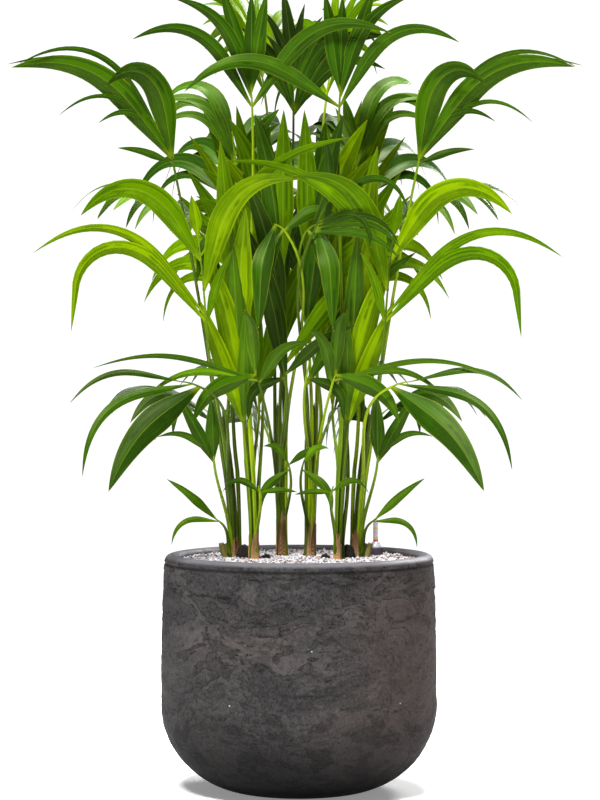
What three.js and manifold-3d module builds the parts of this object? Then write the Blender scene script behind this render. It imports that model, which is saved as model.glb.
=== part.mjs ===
// A kentia palm clump in its round planter: six short stems, long arching fronds, mineral granulate
// and a water-level gauge. Millimetres, +Z up, the front towards -Y, and the origin at the centre of
// the planter's flat underside.
//
// The fronds grow by one rule. A petiole leaves its stem, bows out to the foot of the blade and runs on
// as the rachis. Leaflets leave the rachis on both sides, rise at first and then bend down under their
// own weight. A leaflet that would touch what stands already swings aside, then shortens, or is left out.

import * as THREE from "three";
import { mergeVertices } from "three/addons/utils/BufferGeometryUtils.js";
import Module from "manifold-3d";

const wasm = await Module();
wasm.setup();

// ---------------------------------------------------------------- driving dimensions (mm, degrees)

const GAP = 0.3; // between pieces that rest on each other

const POT = {
  height: 404,
  footRadius: 92, // the flat underside
  bellyRadius: 236.5,
  bellyHeight: 152, // where the rounded bottom ends
  footPull: 60, // how far the bottom curve runs flat before it rises
  bellyPull: 100, // how far it runs straight down from the belly
  rimRadius: 230,
  lipWidth: 26,
  lipHeight: 11, // of the rounded edge
  wall: 24,
  floor: 26,
  segments: 36,
};

const GRAVEL = {
  top: 396, // the level part that the stems stand on
  edge: 391, // where it meets the wall
  levelRadius: 172,
  gap: 0.5, // to the planter's wall and floor
};

const GAUGE = {
  x: 133,
  y: 55,
  capRadius: 13,
  capHeight: 15,
  coneRadius: 6.5,
  coneHeight: 9,
  tubeRadius: 4.2,
  tubeHeight: 40, // above the cone
  segments: 16,
};

const CLUMP_X = -5.5; // the clump stands a little off the planter's axis

// One stem of each mirrored pair: its place on the gravel, its height, and where its tip leans to.
const STEMS = [
  { out: 104, y: 8, height: 214, footRadius: 12.5, tipRadius: 8, lean: [16, -4] },
  { out: 70, y: -44, height: 196, footRadius: 11.5, tipRadius: 7.5, lean: [8, -8] },
  { out: 25, y: 36, height: 220, footRadius: 12, tipRadius: 8, lean: [5, 10] },
];
const STEM_SIDES = 8;
const STEM_RINGS = 4;
const STEM_FLARE = 1.18; // the foot's swelling over the lowest tenth
const SIDES = [["left", -1], ["right", 1]];

const PETIOLE = {
  footRadius: 4.4,
  steps: 6,
  sides: 3,
  rise: 0.35, // the share of its span that it runs on with its stem
  pull: 0.3, // the share that it runs in line with the rachis
  bows: [0, 10, -10, 20, -20, 34, -34], // tried in turn, mm sideways
  turns: [0, 22, -22, 44, -44, 70, -70], // tried in turn, degrees round the stem
};
const RACHIS = { tipRadius: 1.8, steps: 3 };
const FACE_UP = 0.5; // how far a blade's upper face looks up rather than level
const FIRST_SEED = 11;
const FUSED_TO = 0.02; // mm: slivers finer than this go when a frond is fused

const LEAF = {
  fineSteps: 24, // the steps that a leaflet's centre line is worked out in
  sections: [0, 7, 13, 19, 24], // the fine steps that carry a cross-section
  thickness: 0.0115, // of the leaflet's length, at its keel
  tipHalf: 1.2,
  steepest: 84, // degrees below level, at most
  lift: 8, // degrees above the plane of the rachis
  straight: 0.22, // the share of the length before it bends
  wobble: 5, // degrees, the spread between one leaflet and the next
  uneven: 0.06, // of the length
  twist: 30, // degrees from root to tip, at most half of this each way
};

const CLEAR = {
  gap: 1, // to the surface of whatever stands already
  swings: [0, 7, -7, 14, -14, 22, -22], // tried in turn, in degrees
  shorter: [1, 0.8, 0.62], // then these shares of the length
  lowest: 412, // no leaflet dips below this height
};

const COLOURS = {
  planter: 0x4d4b4a,
  gravel: 0xc6c0b6,
  gauge_cap: 0x3a3440,
  gauge_tube: 0xd8dde2,
  stem: 0x7a7a35,
  leaf_bright: 0x8db021,
  leaf_mid: 0x4f8a1c,
  leaf_dark: 0x2c5a12,
};

// A row of leaflets on one side of a rachis, seen along the rachis with the upper face up. It runs from
// its lowest leaflet to its highest, with two values where they differ: the place along the rachis (0 to
// 1), the spread from the rachis, the length, the full width, and the droop over the leaflet's length.
const row = (hand, count, at, spread, length, width, droop) => (
  { hand, count, at, spread, length, width, droop }
);
const [LEFT, RIGHT] = [-1, 1];

// How a blade carries its leaflets where nothing more is said of it.
const HABITS = {
  arching: [
    row(RIGHT, 3, [0.1, 1], [38, 20], [300, 250], [38, 42], [108, 90]),
    row(LEFT, 3, [0.05, 0.95], [38, 20], [300, 250], [38, 42], [108, 90]),
  ],
  upright: [
    row(RIGHT, 3, [0.05, 1], [17, 6], [320, 280], [50, 44], [24, 14]),
    row(LEFT, 3, [0, 0.95], [17, 6], [320, 280], [50, 44], [24, 14]),
  ],
  hanging: [
    row(RIGHT, 2, [0.08, 0.4], [58, 26], [258, 290], [54, 19], [34, 75]),
    row(LEFT, 1, [0.9], [10], [206], [14], [60]),
  ],
};

// The fronds of one side of the clump; each has a mirrored twin unless `only` names its one side. `foot`
// is the place of the blade's foot: outwards from the clump's middle, back, and up from the underside.
// `rise` is where the petiole leaves its stem, as a share of the stem's height. Headings turn from straight
// outwards (0) to the front (90) and the back (-90). `face` is where the blade's upper face looks.
const FRONDS = [
  // the high outer blades that arch over at both sides
  { name: "crest", stem: 0, rise: 0.9, foot: [206, -60, 1062], heading: 8, climb: 78, arch: 20, face: 90,
    rachis: 44, tone: "leaf_dark", leaflets: [
      row(LEFT, 1, [0.33], [10], [259], [52], [119]),
      row(RIGHT, 1, [0.33], [19], [336], [48], [67]),
      row(RIGHT, 2, [0.74, 0.9], [7, 14], [350, 332], [13, 14], [85, 62]),
      row(RIGHT, 1, [0.15], [54], [100], [15], [19]),
      row(RIGHT, 2, [0.25, 0.4], [21, 15], [250, 172], [11, 16], [92, 92]),
    ] },
  // the bright blades of the middle height
  { name: "bright", stem: 0, rise: 0.8, foot: [148, -120, 778], heading: 10, climb: 86, arch: 4, face: 90,
    rachis: 175, tone: "leaf_bright", leaflets: [
      row(RIGHT, 1, [0.71], [27], [277], [46], [104]),
      row(RIGHT, 2, [0.12, 0.18], [38, 36], [383, 363], [28, 20], [160, 85]),
      row(LEFT, 2, [0.42, 0.75], [20, 41], [300, 332], [46, 22], [80, 46]),
      row(LEFT, 1, [0.1], [18], [130], [18], [20]),
      row(RIGHT, 1, [0.93], [1], [74], [22], [2]),
    ] },
  // the dark fans at the top
  { name: "plume", stem: 1, rise: 0.95, foot: [73, -70, 1144], heading: 0, climb: 88, arch: 4, face: 90,
    rachis: 80, tone: "leaf_dark", leaflets: [
      row(RIGHT, 1, [0.23], [29], [270], [27], [88]),
      row(RIGHT, 2, [0.42, 0.6], [15, 13], [230, 192], [27, 30], [60, 4]),
      row(LEFT, 1, [0.24], [39], [306], [32], [77]),
      row(LEFT, 2, [0.55, 0.7], [14, 3], [170, 150], [32, 28], [4, 4]),
    ] },
  // the low dark blades that hang over the planter's sides
  { name: "skirt", stem: 0, rise: 0.5, foot: [156, -150, 690], heading: 15, climb: 24, arch: 26, face: 90,
    rachis: 40, tone: "leaf_dark", habit: "hanging" },
  { name: "low_young", stem: 0, rise: 0.04, foot: [127, -30, 458], heading: 0, climb: 40, arch: 10, face: 90,
    rachis: 12, tone: "leaf_mid", leaflets: [
      row(LEFT, 1, [0.75], [10], [114], [18], [10]),
      row(RIGHT, 1, [0.33], [35], [107], [12], [88]),
    ] },
  { name: "outer_young", stem: 0, rise: 0.2, foot: [138, -60, 561], heading: 0, climb: 84, arch: 8, face: 90,
    rachis: 22, tone: "leaf_dark", leaflets: [
      row(RIGHT, 2, [0.03, 0.68], [23, 41], [137, 108], [25, 14], [3, 56]),
      row(LEFT, 1, [0.26], [7], [106], [28], [3]),
    ] },
  { name: "front_young", stem: 2, rise: 0.3, foot: [60, -92, 690], heading: 30, climb: 72, arch: 10, face: 90,
    rachis: 22, tone: "leaf_mid", leaflets: [
      row(RIGHT, 1, [1], [92], [148], [36], [54]),
      row(RIGHT, 2, [0.5, 0.6], [48, 51], [216, 294], [15, 11], [54, 34]),
      row(LEFT, 2, [0.3, 1], [50, 20], [120, 140], [24, 26], [60, 60]),
    ] },
  { name: "sprout", stem: 2, rise: 0.12, foot: [10, -40, 548], heading: 20, climb: 78, arch: 10, face: 90,
    rachis: 20, tone: "leaf_mid", leaflets: [
      row(RIGHT, 2, [0.1, 0.7], [90, 17], [97, 61], [18, 14], [60, 67]),
      row(LEFT, 1, [0.48], [68], [70], [14], [40]),
    ] },
  { name: "tuft", stem: 1, rise: 0.1, foot: [60, -100, 512], heading: 60, climb: 70, arch: 10, face: 90,
    rachis: 14, tone: "leaf_mid", leaflets: [
      row(RIGHT, 1, [0.23], [40], [83], [14], [86]),
      row(LEFT, 1, [0.1], [92], [62], [12], [20]),
    ] },
  { name: "inner", stem: 2, rise: 0.5, foot: [16, -70, 694], heading: 60, climb: 74, arch: 10, face: 90,
    rachis: 40, tone: "leaf_dark", leaflets: [
      row(RIGHT, 1, [0.31], [95], [108], [24], [101]),
      row(LEFT, 1, [0.42], [60], [153], [26], [22]),
    ] },
  // the upright blades that fill the middle
  { name: "spear", stem: 1, rise: 0.85, foot: [88, -66, 620], heading: 20, climb: 86, arch: 4, face: 80,
    rachis: 220, tone: "leaf_bright", leaflets: [
      row(RIGHT, 3, [0.04, 0.6], [15, -1], [228, 254], [38, 50], [4, 20]),
      row(LEFT, 2, [0.03, 0.45], [4, 4], [199, 233], [30, 40], [3, 3]),
      row(LEFT, 1, [1], [3], [262], [44], [10]),
    ] },
  { name: "back_spear", stem: 1, rise: 0.6, foot: [64, 60, 660], heading: -40, climb: 87, arch: 4, face: 70,
    rachis: 260, tone: "leaf_bright", habit: "upright" },
  { name: "heart", stem: 2, rise: 0.95, foot: [24, 16, 800], heading: 30, climb: 86, arch: 6, face: 90,
    rachis: 120, tone: "leaf_dark", leaflets: [
      row(RIGHT, 3, [0, 1], [26, 6], [250, 250], [46, 48], [40, 20]),
      row(LEFT, 2, [0.2, 0.9], [22, 6], [240, 240], [44, 44], [30, 16]),
    ] },
  { name: "core", stem: 2, rise: 0.7, foot: [16, -36, 690], heading: 50, climb: 88, arch: 3, face: 90,
    rachis: 200, tone: "leaf_mid", leaflets: [
      row(RIGHT, 3, [0, 1], [16, 5], [300, 270], [40, 44], [24, 14]),
      row(LEFT, 2, [0.2, 1], [14, 4], [290, 270], [38, 42], [24, 14]),
    ] },
  { name: "weeping", stem: 2, rise: 0.8, foot: [14, -92, 946], heading: 0, climb: 56, arch: 50, face: 90,
    rachis: 30, tone: "leaf_dark", leaflets: [
      row(RIGHT, 2, [0.9, 0.36], [84, 100], [188, 190], [38, 32], [110, 96]),
      row(LEFT, 1, [0.3], [102], [150], [26], [90]),
    ] },
  { name: "cascade", stem: 2, only: "right", rise: 0.9, foot: [16, -104, 918], heading: 28, climb: 64,
    arch: 6, face: 90, rachis: 150, tone: "leaf_dark", leaflets: [
      row(RIGHT, 1, [0.09], [92], [236], [42], [104]),
      row(RIGHT, 3, [0.24, 0.32], [62, 48], [172, 168], [17, 14], [46, 70]),
      row(RIGHT, 2, [0.36, 0.6], [23, 30], [215, 190], [17, 15], [110, 96]),
      row(LEFT, 1, [0.7], [20], [114], [18], [34]),
    ] },
  // the pale blades behind the shoulders of the crown
  { name: "shoulder", stem: 1, rise: 0.5, foot: [104, 20, 1070], heading: -10, climb: 86, arch: 6, face: -70,
    rachis: 60, tone: "leaf_mid", leaflets: [
      row(LEFT, 2, [0.02, 0.04], [16, 1], [224, 297], [30, 34], [94, 158]),
      row(RIGHT, 1, [0.03], [16], [132], [30], [10]),
    ] },
  { name: "summit", stem: 2, rise: 0.6, foot: [54, 96, 1200], heading: -40, climb: 80, arch: 10, face: 150,
    rachis: 60, tone: "leaf_bright", leaflets: [
      row(RIGHT, 3, [0, 1], [40, 12], [260, 220], [30, 30], [100, 60]),
      row(LEFT, 3, [0, 1], [40, 12], [260, 220], [30, 30], [100, 60]),
    ] },
  // blades that reach out at the sides and spread to the front and the back
  { name: "flank", stem: 0, rise: 0.62, foot: [126, 60, 880], heading: -14, climb: 70, arch: 44, face: 170,
    rachis: 130, tone: "leaf_mid", leaflets: [
      row(RIGHT, 3, [0, 1], [58, 20], [290, 230], [42, 40], [96, 84]),
      row(LEFT, 3, [0, 1], [58, 20], [290, 230], [42, 40], [96, 84]),
    ] },
  { name: "low_flank", stem: 0, rise: 0.3, foot: [136, 96, 620], heading: -40, climb: 50, arch: 40, face: 150,
    rachis: 60, tone: "leaf_dark", leaflets: [
      row(RIGHT, 2, [0, 1], [62, 16], [230, 220], [36, 38], [84, 76]),
      row(LEFT, 2, [0, 1], [62, 16], [230, 220], [36, 38], [84, 76]),
    ] },
  // the far side of the clump
  { name: "back_crest", stem: 0, rise: 0.7, foot: [96, 180, 1000], heading: -80, climb: 74, arch: 30,
    face: -90, rachis: 120, tone: "leaf_dark", habit: "arching" },
  { name: "back_bright", stem: 1, rise: 0.45, foot: [70, 170, 800], heading: -85, climb: 80, arch: 16,
    face: -90, rachis: 150, tone: "leaf_bright", habit: "arching" },
  { name: "back_skirt", stem: 2, rise: 0.45, foot: [66, 170, 640], heading: -75, climb: 24, arch: 26,
    face: -90, rachis: 40, tone: "leaf_dark", habit: "hanging" },
  { name: "crown", stem: 2, only: "left", rise: 1, foot: [4, 6, 1150], heading: 90, climb: 84, arch: 10,
    face: 90, rachis: 60, tone: "leaf_dark", leaflets: [
      row(RIGHT, 2, [0.21, 0.9], [21, 10], [183, 190], [30, 28], [42, 30]),
      row(LEFT, 2, [0.11, 0.8], [17, 24], [238, 180], [42, 28], [71, 30]),
    ] },
];

// ---------------------------------------------------------------- small helpers

const UP = new THREE.Vector3(0, 0, 1);
const radians = THREE.MathUtils.degToRad;
const mix = THREE.MathUtils.lerp;
const point = (x, y, z) => new THREE.Vector3(x, y, z);

/** A repeatable stream of numbers from 0 to 1. */
function seeded(seed) {
  let state = seed >>> 0;
  return () => {
    state = (Math.imul(state, 1664525) + 1013904223) >>> 0;
    return state / 4294967296;
  };
}

/** The level direction at a heading, outwards at 0 and to the front at 90. */
function level(heading) {
  const a = radians(heading);
  return point(Math.cos(a), -Math.sin(a), 0);
}

/** The direction at a heading that climbs by so many degrees. */
function aimed(heading, climb) {
  const e = radians(climb);
  return level(heading).multiplyScalar(Math.cos(e)).addScaledVector(UP, Math.sin(e));
}

/** The part of `v` that is square to the unit vector `axis`, at length one. */
function squareTo(v, axis) {
  return v.clone().addScaledVector(axis, -v.dot(axis)).normalize();
}

/** A closed solid from rings of points, each ring the same size, capped at both ends. */
function loft(rings) {
  const n = rings[0].length;
  const positions = rings.flat().flatMap((p) => [p.x, p.y, p.z]);
  const index = [];
  for (let r = 0; r + 1 < rings.length; r++)
    for (let i = 0; i < n; i++) {
      const a = r * n + i;
      const b = r * n + ((i + 1) % n);
      index.push(a, b, b + n, a, b + n, a + n);
    }
  for (let i = 1; i + 1 < n; i++) {
    const last = (rings.length - 1) * n;
    index.push(0, i + 1, i, last, last + i, last + i + 1);
  }
  const made = new THREE.BufferGeometry();
  made.setAttribute("position", new THREE.Float32BufferAttribute(positions, 3));
  made.setIndex(index);
  return made;
}

/** The solid of a closed geometry, with its faces turned outwards. */
function solidOf(geometry) {
  const merged = mergeVertices(geometry, 1e-4);
  const vertProperties = new Float32Array(merged.attributes.position.array);
  const triVerts = new Uint32Array(merged.index.array);
  const make = () => new wasm.Manifold(new wasm.Mesh({ numProp: 3, vertProperties, triVerts }));
  let solid = make();
  if (solid.volume() < 0) {
    for (let i = 0; i < triVerts.length; i += 3) triVerts.subarray(i, i + 3).reverse();
    solid = make();
  }
  return solid;
}

/** The largest body of a solid as a geometry: loose scraps go, and a sealed hollow is filled. */
function geometryOf(solid) {
  const bodies = solid.decompose().sort((a, b) => b.volume() - a.volume());
  const mesh = bodies[0].getMesh();
  const made = new THREE.BufferGeometry();
  made.setAttribute("position", new THREE.Float32BufferAttribute(mesh.vertProperties, 3));
  made.setIndex(new THREE.BufferAttribute(mesh.triVerts, 1));
  return made;
}

/** A solid of revolution about Z from [radius, height] pairs, on the axis at both ends. */
function turned(profile, segments) {
  const made = new THREE.LatheGeometry(profile.map(([r, z]) => new THREE.Vector2(r, z)), segments);
  made.rotateX(Math.PI / 2);
  made.deleteAttribute("normal");
  made.deleteAttribute("uv");
  return geometryOf(solidOf(made));
}

/** One named mesh in its colour. */
function piece(name, geometry, colour, roughness = 0.6) {
  const finish = new THREE.MeshStandardMaterial({ color: colour, roughness, metalness: 0 });
  const mesh = new THREE.Mesh(geometry, finish);
  mesh.name = name;
  return mesh;
}

// ---------------------------------------------------------------- the clearance rule

/** The solids that stand already, each with its owner. */
class Occupied {
  constructor() {
    this.solids = [];
  }

  add(solid, owner) {
    this.solids.push({ solid, owner, box: boxOf(solid) });
  }

  /** Whether a solid touches none of the solids of other owners. */
  clears(solid, owners) {
    const box = boxOf(solid);
    return this.solids.every((other) => {
      if (owners.includes(other.owner) || !box.intersectsBox(other.box)) return true;
      const common = solid.intersect(other.solid);
      const empty = common.isEmpty();
      common.delete();
      return empty;
    });
  }
}

function boxOf(solid) {
  const { min, max } = solid.boundingBox();
  return new THREE.Box3(point(...min), point(...max));
}

// ---------------------------------------------------------------- planter, gravel and gauge

/** Points of a cubic curve in the profile plane, as [radius, height] pairs. */
function profileCurve(a, b, c, d, count) {
  const curve = new THREE.CubicBezierCurve(...[a, b, c, d].map((p) => new THREE.Vector2(...p)));
  return curve.getPoints(count).map((p) => [p.x, p.y]);
}

/** The radius of the planter's outside at a height above the belly. */
function outerRadius(z) {
  const t = (z - POT.bellyHeight) / (POT.height - POT.bellyHeight);
  return mix(POT.bellyRadius, POT.rimRadius, t * t);
}

function planter() {
  const shoulder = POT.height - POT.lipHeight;
  const half = POT.lipWidth / 2;
  const middle = POT.rimRadius - half;
  const outside = profileCurve(
    [POT.footRadius, 0], [POT.footRadius + POT.footPull, 0],
    [POT.bellyRadius, POT.bellyHeight - POT.bellyPull], [POT.bellyRadius, POT.bellyHeight], 8,
  );
  const side = [0.4, 0.75].map((t) => mix(POT.bellyHeight, shoulder, t)).map((z) => [outerRadius(z), z]);
  const lip = [0, 40, 75, 110, 145, 180].map((a) => [
    middle + half * Math.cos(radians(a)),
    shoulder + POT.lipHeight * Math.sin(radians(a)),
  ]);
  const inside = profileCurve(
    [POT.bellyRadius - POT.wall, POT.bellyHeight],
    [POT.bellyRadius - POT.wall, POT.bellyHeight - POT.bellyPull],
    [POT.footRadius + POT.footPull, POT.floor],
    [POT.footRadius, POT.floor], 4,
  );
  return { profile: [[0, 0], ...outside, ...side, ...lip, ...inside, [0, POT.floor]], inside };
}

function gravelFill(inside) {
  const neck = POT.rimRadius - POT.lipWidth - GRAVEL.gap;
  const shoulder = POT.height - POT.lipHeight;
  const wall = inside.map(([r, z]) => [r - GRAVEL.gap, z + GRAVEL.gap]).reverse();
  return [
    [0, POT.floor + GRAVEL.gap], ...wall, [neck, shoulder - GRAVEL.gap], [neck, GRAVEL.edge],
    [GRAVEL.levelRadius, GRAVEL.top], [0, GRAVEL.top],
  ];
}

function gauge() {
  const foot = GRAVEL.top + GAP;
  const coneTop = foot + GAUGE.capHeight + GAUGE.coneHeight;
  const cap = [
    [0, foot], [GAUGE.capRadius, foot], [GAUGE.capRadius, foot + GAUGE.capHeight],
    [GAUGE.coneRadius, coneTop], [0, coneTop],
  ];
  const start = coneTop + GAP;
  const tube = [
    [0, start], [GAUGE.tubeRadius, start], [GAUGE.tubeRadius, start + GAUGE.tubeHeight - 2],
    [GAUGE.tubeRadius - 1.5, start + GAUGE.tubeHeight], [0, start + GAUGE.tubeHeight],
  ];
  return { cap, tube };
}

// ---------------------------------------------------------------- stems

/** Maps a point of the outward side to its place in the world: `side` is 1 for right, -1 for left. */
function placed(p, side) {
  return point(CLUMP_X + side * p.x, p.y, p.z);
}

/** The middle of a stem at a share of its height. */
function stemPoint(stem, t) {
  const bow = t * t;
  return point(
    stem.out + stem.lean[0] * bow,
    stem.y + stem.lean[1] * bow,
    GRAVEL.top + GAP + stem.height * t,
  );
}

function stemRadius(stem, t) {
  const flare = 1 + (STEM_FLARE - 1) * Math.max(0, 1 - t * 8);
  return mix(stem.footRadius, stem.tipRadius, t) * flare;
}

function stemSolid(stem, side) {
  const rings = [];
  for (let k = 0; k <= STEM_RINGS; k++) {
    const t = k / STEM_RINGS;
    const middle = stemPoint(stem, t);
    const ring = [];
    for (let i = 0; i < STEM_SIDES; i++) {
      const a = (i / STEM_SIDES) * 2 * Math.PI;
      const r = stemRadius(stem, t);
      ring.push(placed(middle.clone().add(point(r * Math.cos(a), r * Math.sin(a), 0)), side));
    }
    rings.push(ring);
  }
  return solidOf(loft(rings));
}

// ---------------------------------------------------------------- fronds

/** The petiole's line, from beside its stem to the blade's foot. */
function petioleLine(frond, bow, turn) {
  const stem = STEMS[frond.stem];
  const tip = point(...frond.foot);
  const middle = stemPoint(stem, frond.rise);
  const away = tip.clone().sub(middle).setZ(0);
  const heading = Math.atan2(away.y, away.x) + radians(turn);
  const reach = stemRadius(stem, frond.rise) * 1.06 + PETIOLE.footRadius + GAP;
  const start = middle.clone().add(point(Math.cos(heading) * reach, Math.sin(heading) * reach, 0));
  const span = start.distanceTo(tip);
  const sideways = point(-Math.sin(heading), Math.cos(heading), 0).multiplyScalar(bow);
  const up = stemPoint(stem, 1).sub(stemPoint(stem, 0.8)).normalize();
  const end = aimed(frond.heading, frond.climb);
  const curve = new THREE.CubicBezierCurve3(
    start,
    start.clone().addScaledVector(up, span * PETIOLE.rise).add(sideways),
    tip.clone().addScaledVector(end, -span * PETIOLE.pull).add(sideways),
    tip,
  );
  return curve.getPoints(PETIOLE.steps);
}

/** The rachis at each step: its place, its direction and the way its upper face looks. */
function rachisFrames(frond) {
  const face = level(frond.face).addScaledVector(UP, FACE_UP).normalize();
  const at = point(...frond.foot);
  const frames = [];
  for (let k = 0; k <= RACHIS.steps; k++) {
    const along = aimed(frond.heading, frond.climb - (frond.arch * k) / RACHIS.steps);
    frames.push({ at: at.clone(), along, upper: squareTo(face, along) });
    at.addScaledVector(along, frond.rachis / RACHIS.steps);
  }
  return frames;
}

/** The frame at a share of the rachis, between the steps on both sides of it. */
function frameAt(frames, t) {
  const f = THREE.MathUtils.clamp(t, 0, 0.9999) * RACHIS.steps;
  const k = Math.floor(f);
  const [a, b] = [frames[k], frames[k + 1]];
  const along = a.along.clone().lerp(b.along, f - k).normalize();
  return {
    at: a.at.clone().lerp(b.at, f - k),
    along,
    upper: squareTo(a.upper.clone().lerp(b.upper, f - k), along),
  };
}

/** The share of a leaflet's full width at a share of its length. */
function outline(s) {
  return THREE.MathUtils.smoothstep(s, -0.12, 0.45) * Math.pow(1 - Math.pow(s, 2.6), 0.9);
}

/** A leaflet's cross-sections, from its root on the rachis to its tip, bent down under its weight. */
function leafletSections(frame, leaf, swing, share) {
  const across = frame.along.clone().cross(frame.upper).multiplyScalar(leaf.hand);
  const spread = radians(leaf.spread + swing);
  const lift = radians(LEAF.lift);
  const flat = frame.along.clone().multiplyScalar(Math.cos(spread)).addScaledVector(across, Math.sin(spread));
  const start = flat.multiplyScalar(Math.cos(lift)).addScaledVector(frame.upper, Math.sin(lift));
  const side = start.clone().cross(squareTo(frame.upper, start));
  const heading = start.clone().setZ(0).normalize();
  const hinge = heading.clone().cross(UP);
  const climb = Math.asin(start.z);
  const length = leaf.length * share;
  const at = frame.at.clone();
  const sections = [];
  for (let k = 0; k <= LEAF.fineSteps; k++) {
    const s = k / LEAF.fineSteps;
    const bend = Math.min(
      radians(leaf.droop) * THREE.MathUtils.smoothstep(s, LEAF.straight, 1),
      climb + radians(LEAF.steepest),
    );
    const tilt = climb - bend;
    const along = heading.clone().multiplyScalar(Math.cos(tilt)).addScaledVector(UP, Math.sin(tilt));
    const wide = side.clone().applyAxisAngle(hinge, -bend).applyAxisAngle(along, radians(leaf.twist) * s);
    sections.push({
      at: at.clone(),
      wide,
      under: along.clone().cross(wide),
      half: Math.max(LEAF.tipHalf, (leaf.width / 2) * outline(s)),
      depth: length * LEAF.thickness * mix(1, 0.35, s),
    });
    at.addScaledVector(along, length / LEAF.fineSteps);
  }
  return sections;
}

/** A leaflet's solid, a flat upper face over a keel, or that solid grown by a margin on all sides. */
function leafletSolid(sections, side, margin = 0) {
  const rings = LEAF.sections.map((k) => {
    const { at, wide, under, half, depth } = sections[k];
    const ring = [
      at.clone().addScaledVector(wide, half + margin),
      at.clone().addScaledVector(under, depth + margin),
      at.clone().addScaledVector(wide, -half - margin),
    ];
    if (margin) ring.push(at.clone().addScaledVector(under, -margin));
    return ring.map((p) => placed(p, side));
  });
  return solidOf(loft(rings));
}

/** The leaflets of a frond, row by row and each row from its lowest to its highest. */
function leafletsOf(frond, random) {
  const between = (pair, t) => mix(pair[0], pair[pair.length - 1], t);
  return (frond.leaflets ?? HABITS[frond.habit]).flatMap((rank) =>
    Array.from({ length: rank.count }, (_, i) => {
      const t = rank.count > 1 ? i / (rank.count - 1) : 0;
      return {
        hand: rank.hand,
        at: between(rank.at, t),
        spread: between(rank.spread, t) + (random() - 0.5) * LEAF.wobble,
        length: between(rank.length, t) * (1 + (random() - 0.5) * LEAF.uneven),
        width: between(rank.width, t),
        droop: between(rank.droop, t) + (random() - 0.5) * LEAF.wobble,
        twist: (random() - 0.5) * LEAF.twist,
      };
    }),
  );
}

/** A tapered limb with square-cut ends along a line, grown by a margin. */
function limbSolid(points, radiusAt, sides, margin = 0) {
  const rings = points.map((p, k) => {
    const before = points[Math.max(0, k - 1)];
    const after = points[Math.min(points.length - 1, k + 1)];
    const along = after.clone().sub(before).normalize();
    const a = squareTo(Math.abs(along.x) < 0.9 ? point(1, 0, 0) : point(0, 1, 0), along);
    const b = along.clone().cross(a);
    const r = radiusAt(k / (points.length - 1)) + margin;
    return Array.from({ length: sides }, (_, i) => {
      const turn = (i / sides) * 2 * Math.PI;
      return p.clone().addScaledVector(a, r * Math.cos(turn)).addScaledVector(b, r * Math.sin(turn));
    });
  });
  return solidOf(loft(rings));
}

/** A frond's petiole and rachis as one limb, on the first route that keeps clear. */
function routed(frond, side, occupied) {
  const owner = frond.name + side;
  const frames = rachisFrames(frond);
  const radius = (t) => mix(PETIOLE.footRadius, RACHIS.tipRadius, t);
  const limb = (bow, turn, margin) => {
    const line = petioleLine(frond, bow, turn).concat(frames.slice(1).map((f) => f.at));
    return limbSolid(line.map((p) => placed(p, side)), radius, PETIOLE.sides, margin);
  };
  for (const bow of PETIOLE.bows)
    for (const turn of PETIOLE.turns)
      if (occupied.clears(limb(bow, turn, CLEAR.gap), [owner, `stem${frond.stem}${side}`])) {
        const solid = limb(bow, turn, 0);
        occupied.add(solid, owner);
        return { frond, side, owner, frames, solid };
      }
  throw new Error(`no clear route for ${owner}`);
}

/** The leaflet on the first of its swings and shares that keeps clear, or nothing. */
function fittedLeaflet({ frames, side, owner }, leaf, occupied) {
  for (const share of CLEAR.shorter)
    for (const swing of CLEAR.swings) {
      const sections = leafletSections(frameAt(frames, leaf.at), leaf, swing, share);
      if (sections.some(({ at, half }) => at.z - half < CLEAR.lowest)) continue;
      const grown = leafletSolid(sections, side, CLEAR.gap);
      if (occupied.clears(grown, [owner])) return leafletSolid(sections, side);
    }
  return null;
}

/** One frond in leaf as a geometry. */
function frondGeometry(route, seed, occupied) {
  let solid = route.solid;
  for (const leaf of leafletsOf(route.frond, seeded(seed))) {
    const blade = fittedLeaflet(route, leaf, occupied);
    if (!blade) continue;
    occupied.add(blade, route.owner);
    solid = solid.add(blade);
  }
  return geometryOf(solid.simplify(FUSED_TO));
}

// ---------------------------------------------------------------- the whole object

const group = new THREE.Group();
const pot = planter();
group.add(piece("planter", turned(pot.profile, POT.segments), COLOURS.planter));
group.add(piece("gravel", turned(gravelFill(pot.inside), POT.segments), COLOURS.gravel, 0.9));

const standing = gauge();
for (const [name, profile, colour] of [
  ["gauge_cap", standing.cap, COLOURS.gauge_cap],
  ["gauge_tube", standing.tube, COLOURS.gauge_tube],
]) {
  const made = piece(name, turned(profile, GAUGE.segments), colour, 0.3);
  made.position.set(GAUGE.x, GAUGE.y, 0);
  group.add(made);
}

const occupied = new Occupied();
STEMS.forEach((stem, i) =>
  SIDES.forEach(([word, side]) => {
    const solid = stemSolid(stem, side);
    occupied.add(solid, `stem${i}${side}`);
    group.add(piece(`stem_${word}_${i + 1}`, geometryOf(solid), COLOURS.stem));
  }),
);

const routes = FRONDS.flatMap((frond) =>
  SIDES.filter(([word]) => !frond.only || frond.only === word).map(([word, side]) => ({
    word,
    ...routed(frond, side, occupied),
  })),
);
routes.forEach((route, i) => {
  const made = frondGeometry(route, FIRST_SEED + i, occupied);
  group.add(piece(`frond_${route.word}_${route.frond.name}`, made, COLOURS[route.frond.tone]));
});

export default group;
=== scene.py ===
"""Dresses the frame of a kentia palm clump in its round stone planter.

The frame's plain solids give the places and sizes. Every frond grows here again by the rule of the frame,
with finer leaflets, and the planter, the mineral granulate, the stems and the water-level gauge get their
relief and finishes. Lengths are in millimetres until a mesh is made, +Z is up and the front looks towards -Y.
"""

import logging
import math
import random
from collections.abc import Callable, Iterator, Mapping, Sequence
from dataclasses import dataclass, field, replace
from enum import Enum
from itertools import combinations

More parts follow.
